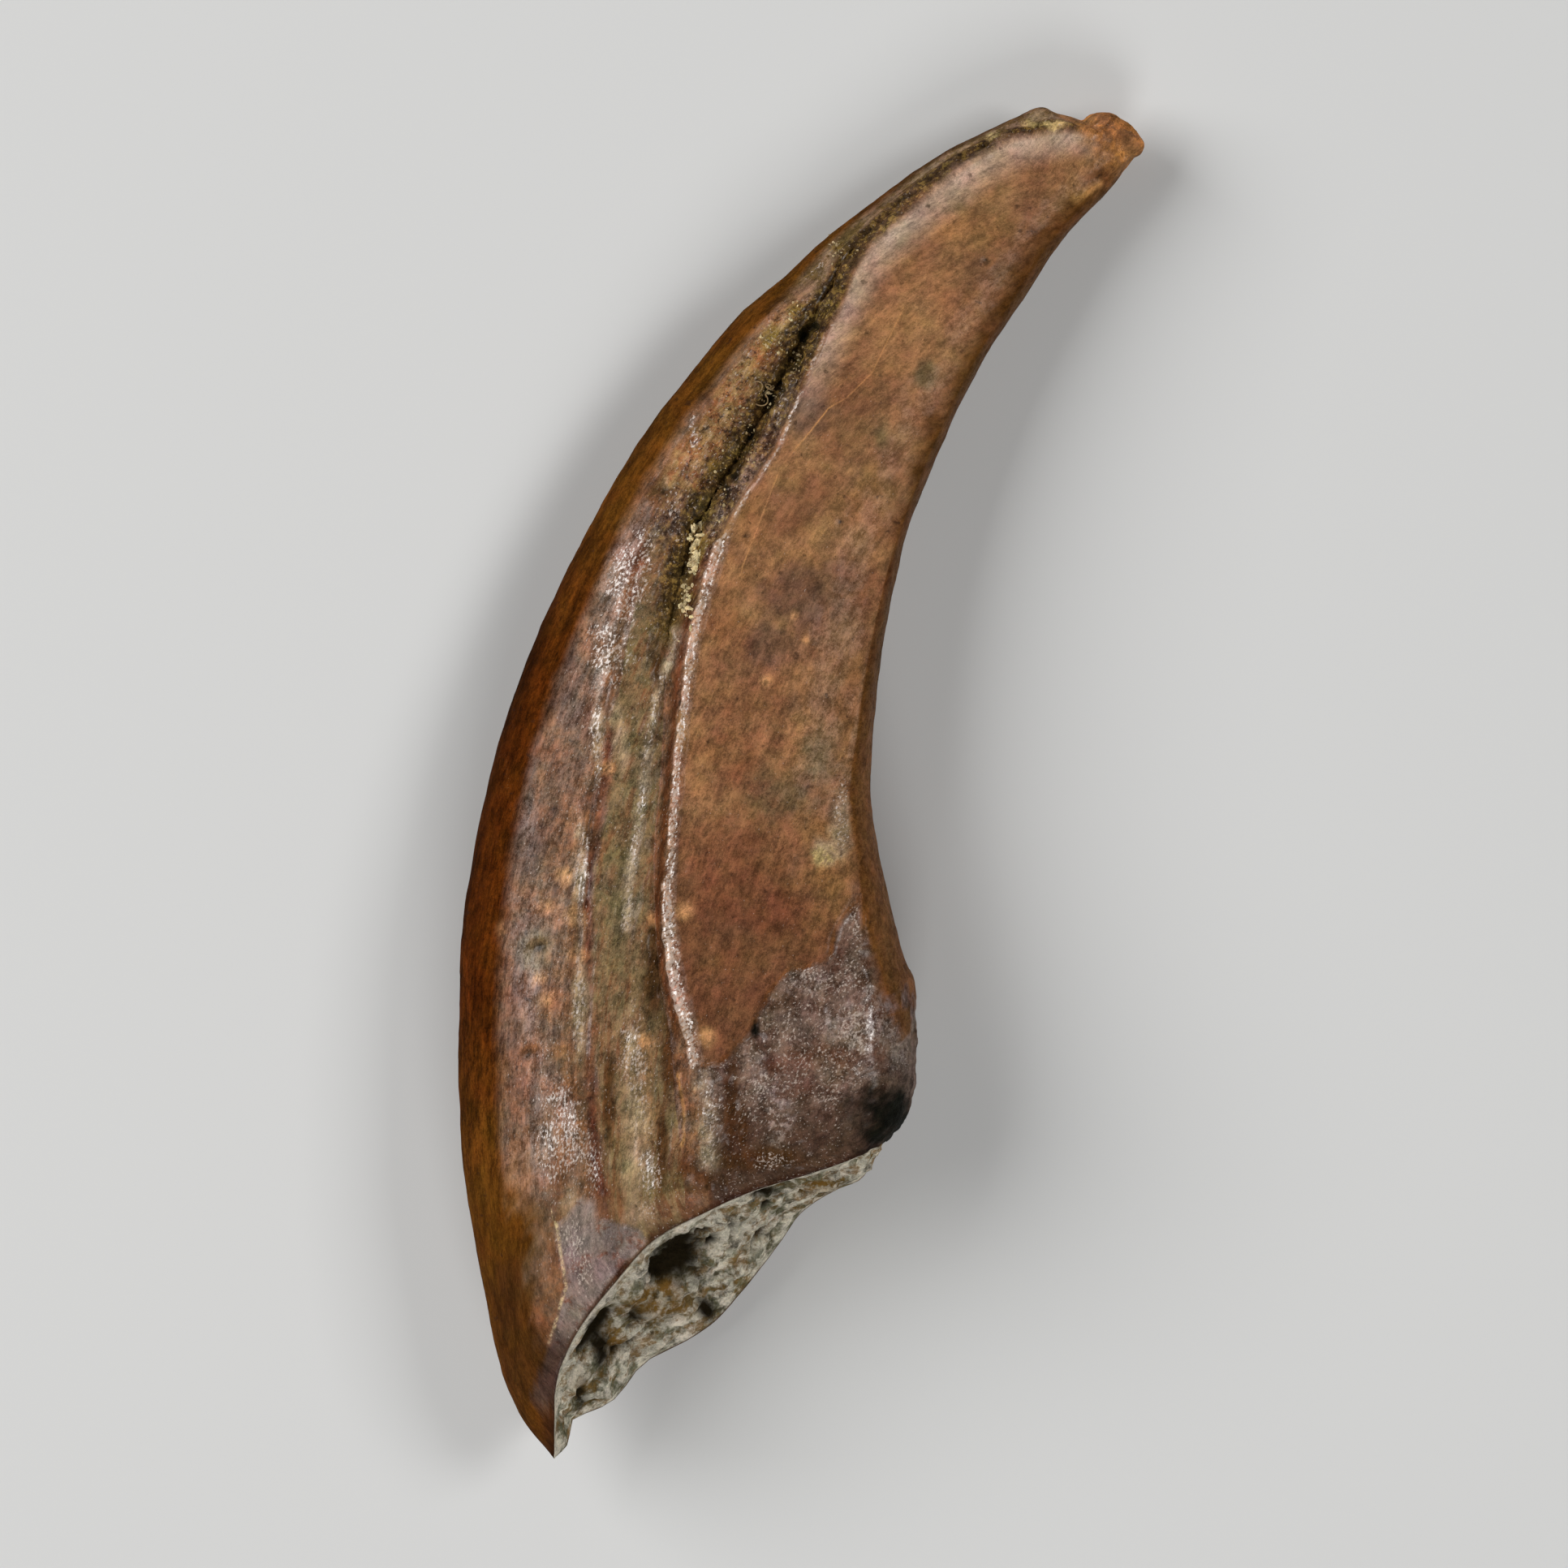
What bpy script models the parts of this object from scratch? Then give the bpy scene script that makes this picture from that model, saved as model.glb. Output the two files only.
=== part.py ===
"""A fossil dromaeosaurus claw, lying on its far flank.

The claw is one solid. Two outline curves, the outer (dorsal) and the inner (ventral) edge, carry a row of
cross-sections from the broken base to the worn tip. Each section is a rounded outer edge, a shoulder, a
blood groove, the sharp crest of the broad flank, and a narrow inner face behind a corner.
X runs across the claw, Y towards its tip, and Z up from the surface that it lies on.
"""

import bmesh
import bpy
import numpy as np
from mathutils import Vector, noise

MM = 0.001

# Sizes are in millimetres. A first column is always the share of the claw's length, from 0 at the broken
# base to 1 at the tip, or the share of its depth, from 0 at the outer edge to 1 at the inner one.

# Outer edge, with the chipped notch beside the tip: share of length, x, y.
OUTER_EDGE = (
    (0.000, -8.15, -22.50),
    (0.012, -8.85, -21.65),
    (0.026, -9.35, -20.85),
    (0.052, -9.95, -19.35),
    (0.085, -10.45, -17.20),
    (0.119, -10.87, -15.05),
    (0.183, -11.30, -11.25),
    (0.251, -11.35, -7.20),
    (0.322, -11.00, -3.15),
    (0.391, -10.12, 0.90),
    (0.462, -8.70, 4.95),
    (0.543, -6.80, 8.85),
    (0.626, -4.50, 12.50),
    (0.662, -3.62, 13.60),
    (0.702, -1.95, 15.60),
    (0.738, -0.50, 16.80),
    (0.773, 0.65, 17.90),
    (0.839, 3.35, 19.98),
    (0.900, 5.90, 21.55),
    (0.927, 7.10, 22.08),
    (0.949, 8.17, 22.46),
    (0.957, 8.55, 22.26),
    (0.964, 9.02, 22.14),
    (0.971, 9.40, 22.00),
    (0.977, 9.72, 22.23),
    (0.984, 10.27, 22.27),
    (0.991, 10.75, 22.05),
    (0.996, 11.15, 21.75),
    (1.000, 11.42, 21.30),
)

# Inner edge, with the swelling where the flexor tendon was fixed: share of length, x, y.
INNER_EDGE = (
    (0.000, 2.90, -12.00),
    (0.026, 3.48, -11.30),
    (0.052, 3.78, -10.50),
    (0.119, 3.90, -8.85),
    (0.168, 3.90, -7.25),
    (0.188, 3.80, -6.60),
    (0.210, 3.50, -5.95),
    (0.251, 3.18, -4.75),
    (0.322, 2.62, -2.35),
    (0.391, 2.38, -0.20),
    (0.462, 2.48, 1.95),
    (0.543, 2.85, 5.10),
    (0.626, 3.60, 8.30),
    (0.702, 4.75, 11.30),
    (0.773, 6.00, 13.85),
    (0.839, 7.50, 16.15),
    (0.900, 9.00, 18.30),
    (0.949, 10.40, 19.80),
    (0.971, 11.02, 20.62),
    (0.986, 11.32, 21.00),
    (1.000, 11.42, 21.30),
)

# Half of the thickness: share of length, millimetres.
HALF_THICKNESS = (
    (0.00, 3.00),
    (0.06, 3.25),
    (0.15, 3.40),
    (0.25, 3.45),
    (0.38, 3.27),
    (0.50, 2.95),
    (0.62, 2.60),
    (0.74, 2.20),
    (0.84, 1.80),
    (0.92, 1.40),
    (0.965, 1.05),
    (0.985, 0.75),
    (0.995, 0.42),
    (1.00, 0.00),
)

# Lines that run from base to tip on the upper flank: share of length, share of depth.
SHOULDER_LINE = (
    (0.00, 0.38),
    (0.08, 0.35),
    (0.15, 0.30),
    (0.25, 0.29),
    (0.38, 0.27),
    (0.46, 0.22),
    (0.55, 0.165),
    (0.66, 0.12),
    (0.76, 0.07),
    (0.85, 0.05),
    (1.00, 0.05),
)
GROOVE_LINE = (
    (0.00, 0.575),
    (0.12, 0.535),
    (0.24, 0.492),
    (0.32, 0.466),
    (0.41, 0.430),
    (0.48, 0.362),
    (0.56, 0.318),
    (0.66, 0.325),
    (0.70, 0.285),
    (0.74, 0.215),
    (0.78, 0.150),
    (0.83, 0.128),
    (0.88, 0.130),
    (0.92, 0.155),
    (0.95, 0.260),
    (1.00, 0.320),
)
CREST_LINE = (
    (0.00, 0.625),
    (0.12, 0.580),
    (0.24, 0.520),
    (0.28, 0.498),
    (0.32, 0.497),
    (0.41, 0.468),
    (0.48, 0.425),
    (0.56, 0.396),
    (0.66, 0.412),
    (0.70, 0.352),
    (0.74, 0.272),
    (0.78, 0.208),
    (0.83, 0.190),
    (0.88, 0.180),
    (0.92, 0.210),
    (0.95, 0.350),
    (1.00, 0.400),
)
CORNER_LINE = (
    (0.00, 0.910),
    (0.12, 0.890),
    (0.19, 0.890),
    (0.25, 0.920),
    (0.31, 0.942),
    (0.37, 0.935),
    (0.50, 0.955),
    (0.70, 0.965),
    (0.80, 0.947),
    (0.88, 0.920),
    (1.00, 0.880),
)

# Groove: share of length, depth below the flank in millimetres.
GROOVE_DEPTH = (
    (0.00, 0.22),
    (0.12, 0.34),
    (0.24, 0.48),
    (0.40, 0.55),
    (0.50, 0.72),
    (0.60, 0.82),
    (0.72, 0.76),
    (0.82, 0.52),
    (0.90, 0.36),
    (0.95, 0.12),
    (1.00, 0.00),
)
GROOVE_SHARE_OF_HALF = 0.6

# The band between shoulder and groove: how steeply it sinks where it is a wide trough, near the base, and
# where it is a narrow groove, and the shares of length between which one turns into the other.
TROUGH_STEEPNESS = 1.6
GROOVE_STEEPNESS = 3.0
GROOVE_NARROWS = (0.35, 0.65)

# Crest and shoulder: heights in millimetres, and how far each reaches, as a share of depth or of the band.
CREST_LIP = 0.07
CREST_REACH = 0.06
SHOULDER_STEP = 0.10
SHOULDER_REACH = 0.15
RIDGES_FADE = (0.85, 0.95)

# Roundness of the section: share of length and the share of height left at the corner, then the powers
# of its three curves.
CORNER_HEIGHT = (
    (0.00, 0.94),
    (0.17, 0.94),
    (0.22, 0.92),
    (0.31, 0.82),
    (1.00, 0.82),
)
OUTER_ROUNDING = 2.25
INNER_ROUNDING = 1.9
INNER_FALL = 2.2
FULLEST_DEPTH = 0.64

# The far flank has the same lines, a little closer to the outer edge, and a shallower groove.
FAR_LINE_SHIFT = -0.02
FAR_GROOVE_SHARE = 0.8

# The claw lies on its fullest flank, so its middle plane falls a little towards the tip.
PLANE_HEIGHT = 3.96
PLANE_FALL = 2.05

# Broken base. The break starts further up on the near flank than on the far one: share of depth, and
# how far the rim lies above the line between the two outline curves' ends.
NEAR_RIM = (
    (0.00, 0.00),
    (0.06, 0.95),
    (0.12, 1.85),
    (0.20, 2.42),
    (0.37, 2.92),
    (0.50, 3.02),
    (0.60, 2.58),
    (0.71, 2.00),
    (0.83, 1.08),
    (0.92, 0.45),
    (1.00, 0.00),
)
FAR_RIM = (
    (0.000, 0.00),
    (0.040, 0.02),
    (0.084, 0.49),
    (0.130, 0.20),
    (0.170, 0.03),
    (0.280, 0.20),
    (0.380, -0.24),
    (0.450, -0.42),
    (0.540, -0.33),
    (0.680, 0.00),
    (0.750, 0.21),
    (0.850, -0.06),
    (0.900, -0.34),
    (0.943, -0.21),
    (1.000, 0.00),
)
RIM_REACH = 0.40

# Lumps of the broken spongy bone, and the hollows in it: share of depth, share of thickness from the near
# rim to the far one, and then the half-lengths of the hollow in the same two shares, and its depth.
BREAK_LUMP = 0.30
BREAK_LUMP_SIZE = 1.7
BREAK_SMOOTH_RIM = 0.9
HOLLOWS = (
    (0.25, 0.25, 0.10, 0.20, 0.55),
    (0.50, 0.28, 0.13, 0.22, 0.65),
    (0.38, 0.68, 0.08, 0.18, 0.30),
    (0.72, 0.45, 0.07, 0.22, 0.25),
)

# Lower end of the smooth outer layer on the near flank, where it has peeled from the flexor swelling:
# x, y, and the height of the step.
PEEL_EDGE = (
    (-3.60, -9.40),
    (-2.66, -9.40),
    (-1.63, -8.21),
    (-1.04, -7.05),
    (-0.30, -6.25),
    (0.96, -5.91),
    (1.60, -4.90),
    (2.40, -4.10),
)
PEEL_STEP = 0.16
PEEL_REACH = 3.2
PEEL_EDGE_WIDTH = 0.3
PEEL_SIDE_WIDTH = 0.6

# Fineness of the facets.
BODY_STATIONS = 72
TIP_STATIONS = 14
TIP_START = 0.93
OUTER_STEPS, BAND_STEPS, WALL_STEPS, FLANK_STEPS, INNER_STEPS = 6, 5, 2, 8, 4
BREAK_STEPS = 7


def curve_at(table, place):
    """A smooth curve through the rows of a table, read at an array of places."""
    rows = np.array(table, float)
    knots, values = rows[:, 0], rows[:, 1:]
    slopes = np.gradient(values, knots, axis=0)
    i = np.clip(np.searchsorted(knots, place, side="right") - 1, 0, len(knots) - 2)
    span = (knots[i + 1] - knots[i])[:, None]
    s = (place - knots[i])[:, None] / span
    start, end = values[i], values[i + 1]
    leave, arrive = slopes[i] * span, slopes[i + 1] * span
    return (
        (2 * s**3 - 3 * s**2 + 1) * start
        + (s**3 - 2 * s**2 + s) * leave
        + (3 * s**2 - 2 * s**3) * end
        + (s**3 - s**2) * arrive
    )


def ease(x, start=0.0, end=1.0):
    """0 at start, 1 at end, and a smooth step between."""
    x = np.clip((x - start) / (end - start), 0, 1)
    return x * x * (3 - 2 * x)


def flank_lines(along, far):
    """Share of depth of the shoulder, groove, crest and corner at each station of one flank."""
    tables = (SHOULDER_LINE, GROOVE_LINE, CREST_LINE, CORNER_LINE)
    shoulder, groove, crest, corner = (curve_at(t, along)[:, 0] for t in tables)
    if far:
        groove = groove + FAR_LINE_SHIFT
        crest = crest + FAR_LINE_SHIFT
    return shoulder, groove, crest, corner


def columns(lines):
    """Share of depth of each facet column, a row for each station, with a column on each line."""
    shoulder, groove, crest, corner = (line[:, None] for line in lines)
    turn = np.linspace(0, np.pi / 2, OUTER_STEPS + 1)[None, :-1]
    band = np.linspace(0, 1, BAND_STEPS + 1)[None, :-1]
    wall = np.linspace(0, 1, WALL_STEPS + 1)[None, :-1]
    flank = np.linspace(0, 1, FLANK_STEPS + 1)[None, :-1]
    inner = np.linspace(0, np.pi / 2, INNER_STEPS + 1)[None, :]
    return np.hstack(
        (
            shoulder * (1 - np.cos(turn)),
            shoulder + (groove - shoulder) * (1 - (1 - band) ** 1.5),
            groove + (crest - groove) * wall,
            crest + (corner - crest) * flank,
            corner + (1 - corner) * np.sin(inner),
        )
    )


def flank_height(across, along, lines, far):
    """Millimetres from the middle plane to one flank, for each station and column."""
    shoulder, groove, crest, corner = (line[:, None] for line in lines)
    half = curve_at(HALF_THICKNESS, along)
    rise = np.clip(1 - across / FULLEST_DEPTH, 0, 1)
    body = (1 - rise**OUTER_ROUNDING) ** (1 / 2)
    fall = np.clip((across - FULLEST_DEPTH) / (corner - FULLEST_DEPTH), 0, 1)
    corner_height = curve_at(CORNER_HEIGHT, along)
    body = body - (1 - corner_height) * fall**INNER_FALL
    turn = np.clip((across - corner) / (1 - corner), 0, 1)
    inner = corner_height * (1 - turn**INNER_ROUNDING) ** (1 / INNER_ROUNDING)
    body = np.where(across > corner, inner, body)

    # The band between shoulder and groove is a shallow trough near the base and a round ridge near the tip.
    narrowing = ease(along[:, None], *GROOVE_NARROWS)
    narrow = TROUGH_STEEPNESS + (GROOVE_STEEPNESS - TROUGH_STEEPNESS) * narrowing
    band = np.clip((across - shoulder) / (groove - shoulder), 0, 1)
    wall = np.clip((across - groove) / (crest - groove), 0, 1)
    sunk = np.where(across < groove, band**narrow, 1 - ease(wall))
    depth = curve_at(GROOVE_DEPTH, along) * (FAR_GROOVE_SHARE if far else 1)
    depth = np.minimum(depth, GROOVE_SHARE_OF_HALF * half)
    lip = CREST_LIP * wall * (1 - ease(across - crest, 0, CREST_REACH))
    step = SHOULDER_STEP * ease(band, 0, SHOULDER_REACH) * (1 - band)
    ridges = 1 - ease(along[:, None], *RIDGES_FADE)
    return half * body - depth * sunk + (lip - step) * ridges


def peel(flat):
    """How far the surface lies below the peeled layer, deepest at its edge and easing out below it."""
    edge = np.array(PEEL_EDGE)
    below = np.interp(flat[..., 0], edge[:, 0], edge[:, 1]) - flat[..., 1]
    drop = PEEL_STEP * ease(below, 0, PEEL_EDGE_WIDTH) * np.exp(-np.clip(below, 0, None) / PEEL_REACH)
    from_crest = ease(flat[..., 0] - edge[0, 0], 0, PEEL_SIDE_WIDTH)
    before_edge = ease(edge[-1, 0] - flat[..., 0], 0, PEEL_SIDE_WIDTH)
    return drop * from_crest * before_edge


def flank_points(along, far):
    """Points of one flank, as stations by columns by three, in millimetres."""
    lines = flank_lines(along, far)
    across = columns(lines)
    outer = curve_at(OUTER_EDGE, along)[:, None, :]
    inner = curve_at(INNER_EDGE, along)[:, None, :]
    share = across[:, :, None]
    flat = outer * (1 - share) + inner * share
    chord = (inner - outer)[0, 0] / np.linalg.norm((inner - outer)[0, 0])
    towards_tip = np.array((-chord[1], chord[0]))
    rim = curve_at(FAR_RIM if far else NEAR_RIM, across.ravel()).reshape(share.shape)
    fade = np.clip(1 - along / RIM_REACH, 0, 1)[:, None, None] ** 1.5
    flat = flat + rim * fade * towards_tip
    height = flank_height(across, along, lines, far)
    plane = (PLANE_HEIGHT - PLANE_FALL * along)[:, None]
    if far:
        return np.dstack((flat, np.maximum(plane - height, 0)))
    return np.dstack((flat, plane + height - peel(flat)))


def break_rows(near_rim, far_rim, across):
    """Rows of points over the broken base, between the near rim and the far one."""
    chord = near_rim[-1] - near_rim[0]
    slope = (far_rim - near_rim).mean(axis=0)
    outward = np.cross(slope, chord)
    outward = outward / np.linalg.norm(outward)
    if outward[1] > 0:
        outward = -outward
    rows = []
    for step in range(1, BREAK_STEPS):
        share = step / BREAK_STEPS
        row = near_rim * (1 - share) + far_rim * share
        room = np.linalg.norm(far_rim - near_rim, axis=1)
        inside = np.minimum(share, 1 - share) * room
        for k in range(1, len(row) - 1):
            lump = noise.fractal(Vector(row[k]) / BREAK_LUMP_SIZE, 0.8, 2.0, 3) * BREAK_LUMP
            for t, s, wide, deep, depth in HOLLOWS:
                gap = ((across[k] - t) / wide) ** 2 + ((share - s) / deep) ** 2
                lump = lump - depth * (1 - ease(gap**0.5))
            row[k] = row[k] + outward * lump * ease(inside[k], 0, BREAK_SMOOTH_RIM)
        rows.append(row[1:-1])
    return rows


def claw_mesh():
    """The closed mesh of the whole claw, in metres, resting on z = 0 about the middle of its box."""
    body_part = np.linspace(0, TIP_START, BODY_STATIONS, endpoint=False)
    along = np.concatenate((body_part, np.linspace(TIP_START, 1, TIP_STATIONS)))
    near = flank_points(along, far=False)
    far = flank_points(along, far=True)
    rings = np.concatenate((near, far[:, -2:0:-1]), axis=1)
    low = rings.reshape(-1, 3).min(axis=0)
    high = rings.reshape(-1, 3).max(axis=0)
    origin = np.array(((low[0] + high[0]) / 2, (low[1] + high[1]) / 2, 0))

    mesh = bmesh.new()

    def add(points):
        return [mesh.verts.new((p - origin) * MM) for p in points]

    def bridge(first, second):
        for k in range(len(first)):
            after = (k + 1) % len(first)
            mesh.faces.new((first[k], first[after], second[after], second[k]))

    def close(ring, point):
        for k in range(len(ring)):
            mesh.faces.new((ring[k], ring[(k + 1) % len(ring)], point))

    def fill(first, second):
        for k in range(len(first) - 1):
            corners = dict.fromkeys((first[k], first[k + 1], second[k + 1], second[k]))
            mesh.faces.new(tuple(corners))

    body = [add(ring) for ring in rings[:-1]]
    for first, second in zip(body, body[1:]):
        bridge(first, second)
    close(body[-1], add(rings[-1, :1])[0])

    # The broken base is a patch of rows between the two halves of the rim, which share their two ends.
    last = near.shape[1] - 1
    far_rim = [body[0][0]] + body[0][:last:-1] + [body[0][last]]
    previous = body[0][: last + 1]
    across = columns(flank_lines(along[:1], far=False))[0]
    for points in break_rows(near[0], far[0], across):
        row = [previous[0]] + add(points) + [previous[-1]]
        fill(previous, row)
        previous = row
    fill(previous, far_rim)
    bmesh.ops.recalc_face_normals(mesh, faces=mesh.faces)
    return mesh


def bone_material():
    """Brown mineral-stained bone, with the soft gloss of a cleaned fossil."""
    material = bpy.data.materials.new("fossil_bone")
    material.use_nodes = True
    shader = material.node_tree.nodes["Principled BSDF"]
    shader.inputs["Base Color"].default_value = (0.22, 0.105, 0.05, 1)
    shader.inputs["Roughness"].default_value = 0.45
    shader.inputs["Metallic"].default_value = 0
    return material


def make_claw():
    mesh = bpy.data.meshes.new("claw")
    shape = claw_mesh()
    shape.to_mesh(mesh)
    shape.free()
    mesh.shade_smooth()
    mesh.materials.append(bone_material())
    claw = bpy.data.objects.new("claw", mesh)
    bpy.context.scene.collection.objects.link(claw)


def clear_scene():
    for thing in list(bpy.data.objects):
        bpy.data.objects.remove(thing)


clear_scene()
make_claw()
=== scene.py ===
import math

import bmesh
import bpy
import numpy as np
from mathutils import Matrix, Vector, noise


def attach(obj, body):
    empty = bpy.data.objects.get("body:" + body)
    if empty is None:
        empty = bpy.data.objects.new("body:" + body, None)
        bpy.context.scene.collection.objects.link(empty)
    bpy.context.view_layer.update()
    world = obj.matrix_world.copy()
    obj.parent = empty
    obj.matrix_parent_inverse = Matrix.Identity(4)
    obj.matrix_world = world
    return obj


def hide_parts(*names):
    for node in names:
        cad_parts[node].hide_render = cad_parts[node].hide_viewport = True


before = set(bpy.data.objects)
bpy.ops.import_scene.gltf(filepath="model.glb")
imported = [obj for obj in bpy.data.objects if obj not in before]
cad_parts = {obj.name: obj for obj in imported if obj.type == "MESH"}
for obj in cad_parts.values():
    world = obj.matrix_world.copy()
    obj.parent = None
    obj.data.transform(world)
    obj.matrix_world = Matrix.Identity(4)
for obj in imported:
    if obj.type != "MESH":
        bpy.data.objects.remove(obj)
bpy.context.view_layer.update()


# Claw bone: its form
# The real claw is one bone, turned to stone. Two outline curves, the outer and the inner edge, carry its
# cross-sections from the broken base to the worn tip, in millimetres, as in the solid that it stands for.
# A first column is a share of the claw's length, base to tip, or of its depth, outer to inner edge.
MM = 0.001
PER_MM = (1 / MM,) * 3

OUTER_EDGE = (
    (0.000, -8.15, -22.50), (0.012, -8.85, -21.65), (0.026, -9.35, -20.85), (0.052, -9.95, -19.35),
    (0.085, -10.45, -17.20), (0.119, -10.87, -15.05), (0.183, -11.30, -11.25), (0.251, -11.35, -7.20),
    (0.322, -11.00, -3.15), (0.391, -10.12, 0.90), (0.462, -8.70, 4.95), (0.543, -6.80, 8.85),
    (0.626, -4.50, 12.50), (0.662, -3.62, 13.60), (0.702, -1.95, 15.60), (0.738, -0.50, 16.80),
    (0.773, 0.65, 17.90), (0.839, 3.35, 19.98), (0.900, 5.90, 21.55), (0.927, 7.10, 22.08),
    (0.949, 8.17, 22.46), (0.957, 8.55, 22.26), (0.964, 9.02, 22.14), (0.971, 9.40, 22.00),
    (0.977, 9.72, 22.23), (0.984, 10.27, 22.27), (0.991, 10.75, 22.05), (0.996, 11.15, 21.75),
    (1.000, 11.42, 21.30),
)
INNER_EDGE = (
    (0.000, 2.90, -12.00), (0.026, 3.48, -11.30), (0.052, 3.78, -10.50), (0.119, 3.90, -8.85),
    (0.168, 3.90, -7.25), (0.188, 3.80, -6.60), (0.210, 3.50, -5.95), (0.251, 3.18, -4.75),
    (0.322, 2.62, -2.35), (0.391, 2.38, -0.20), (0.462, 2.48, 1.95), (0.543, 2.85, 5.10),
    (0.626, 3.60, 8.30), (0.702, 4.75, 11.30), (0.773, 6.00, 13.85), (0.839, 7.50, 16.15),
    (0.900, 9.00, 18.30), (0.949, 10.40, 19.80), (0.971, 11.02, 20.62), (0.986, 11.32, 21.00),
    (1.000, 11.42, 21.30),
)
HALF_THICKNESS = (
    (0.00, 3.00), (0.06, 3.25), (0.15, 3.40), (0.25, 3.45), (0.38, 3.27), (0.50, 2.95), (0.62, 2.60),
    (0.74, 2.20), (0.84, 1.80), (0.92, 1.40), (0.965, 1.05), (0.985, 0.75), (0.995, 0.42), (1.00, 0.00),
)
SHOULDER_LINE = (
    (0.00, 0.38), (0.08, 0.35), (0.15, 0.30), (0.25, 0.29), (0.38, 0.27), (0.46, 0.22), (0.55, 0.165),
    (0.66, 0.12), (0.76, 0.07), (0.85, 0.05), (1.00, 0.05),
)
GROOVE_LINE = (
    (0.00, 0.575), (0.12, 0.535), (0.24, 0.492), (0.32, 0.466), (0.41, 0.430), (0.48, 0.362),
    (0.56, 0.318), (0.66, 0.325), (0.70, 0.285), (0.74, 0.215), (0.78, 0.150), (0.83, 0.128),
    (0.88, 0.130), (0.92, 0.155), (0.95, 0.260), (1.00, 0.320),
)
CREST_LINE = (
    (0.00, 0.625), (0.12, 0.580), (0.24, 0.520), (0.28, 0.498), (0.32, 0.497), (0.41, 0.468),
    (0.48, 0.425), (0.56, 0.396), (0.66, 0.412), (0.70, 0.352), (0.74, 0.272), (0.78, 0.208),
    (0.83, 0.190), (0.88, 0.180), (0.92, 0.210), (0.95, 0.350), (1.00, 0.400),
)
CORNER_LINE = (
    (0.00, 0.910), (0.12, 0.890), (0.19, 0.890), (0.25, 0.920), (0.31, 0.942), (0.37, 0.935),
    (0.50, 0.955), (0.70, 0.965), (0.80, 0.947), (0.88, 0.920), (1.00, 0.880),
)
GROOVE_DEPTH = (
    (0.00, 0.22), (0.12, 0.34), (0.24, 0.48), (0.40, 0.55), (0.50, 0.72), (0.60, 0.82), (0.72, 0.76),
    (0.82, 0.52), (0.90, 0.36), (0.95, 0.12), (1.00, 0.00),
)
GROOVE_SHARE_OF_HALF = 0.6
TROUGH_STEEPNESS = 1.6
GROOVE_STEEPNESS = 3.0
GROOVE_NARROWS = (0.35, 0.65)
CREST_LIP = 0.07
CREST_REACH = 0.06
SHOULDER_STEP = 0.10
SHOULDER_REACH = 0.15
RIDGES_FADE = (0.85, 0.95)
CORNER_HEIGHT = (
    (0.00, 0.94), (0.17, 0.94), (0.22, 0.92), (0.31, 0.82), (1.00, 0.82),
)
OUTER_ROUNDING = 2.25
INNER_ROUNDING = 1.9
INNER_FALL = 2.2
FULLEST_DEPTH = 0.64
FAR_LINE_SHIFT = -0.02
FAR_GROOVE_SHARE = 0.8
PLANE_HEIGHT = 3.96
PLANE_FALL = 2.05

# The rim of the broken base on the near and on the far flank: share of depth, and how far it lies above
# the line between the ends of the two edges.
NEAR_RIM = (
    (0.00, 0.00), (0.06, 0.95), (0.12, 1.85), (0.20, 2.42), (0.37, 2.92), (0.50, 3.02), (0.60, 2.58),
    (0.71, 2.00), (0.83, 1.08), (0.92, 0.45), (1.00, 0.00),
)
FAR_RIM = (
    (0.000, 0.00), (0.040, 0.02), (0.084, 0.49), (0.130, 0.20), (0.170, 0.03), (0.280, 0.20),
    (0.380, -0.24), (0.450, -0.42), (0.540, -0.33), (0.680, 0.00), (0.750, 0.21), (0.850, -0.06),
    (0.900, -0.34), (0.943, -0.21), (1.000, 0.00),
)
RIM_REACH = 0.40
RIM_FADE = 1.5

# A bench of bone stands between the groove and the crest over these shares of length.
BENCH_FROM = (0.52, 0.57)
BENCH_TO = (0.67, 0.71)
# The wall climbs most of its height below the bench, and the rest above it.
BENCH_HEIGHT = 0.78
BELOW_BENCH = (0, 0.4)
ABOVE_BENCH = (0.8, 1)

# Mesh fineness: steps along the claw, and across a flank from one line to the next.
BODY_STATIONS = 346
TIP_STATIONS = 42
TIP_START = 0.93
NEAR_STEPS = (28, 42, 14, 54, 12)
FAR_STEPS = tuple(count // 2 for count in NEAR_STEPS)
BREAK_STEPS = 72
TOWARDS_EDGES = 5
TOWARDS_CREST = 1.35
TOWARDS_GROOVE = 1.3


def curve_at(table, place):
    """A smooth curve through the rows of a table, read at an array of places."""
    rows = np.array(table, float)
    knots, values = rows[:, 0], rows[:, 1:]
    slopes = np.gradient(values, knots, axis=0)
    i = np.clip(np.searchsorted(knots, place, side="right") - 1, 0, len(knots) - 2)
    span = (knots[i + 1] - knots[i])[:, None]
    s = (place - knots[i])[:, None] / span
    start, end = values[i], values[i + 1]
    leave, arrive = slopes[i] * span, slopes[i + 1] * span
    return (
        (2 * s**3 - 3 * s**2 + 1) * start
        + (s**3 - 2 * s**2 + s) * leave
        + (3 * s**2 - 2 * s**3) * end
        + (s**3 - s**2) * arrive
    )


def ease(x, start=0.0, end=1.0):
    """0 at start, 1 at end, and a smooth step between."""
    x = np.clip((x - start) / (end - start), 0, 1)
    return x * x * (3 - 2 * x)


def hump(gap, width):
    """1 where the gap is 0, falling to nearly nothing at twice the width."""
    return np.exp(-((gap / width) ** 2))


def lumps(points, size, octaves=3, falloff=0.8):
    """Smooth uneven noise of about -1 to 1; size is the width of its largest lumps."""
    places = (points.reshape(-1, 3) / size).tolist()
    values = [noise.fractal(place, falloff, 2.0, octaves) for place in places]
    return np.array(values).reshape(points.shape[:-1])


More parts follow.
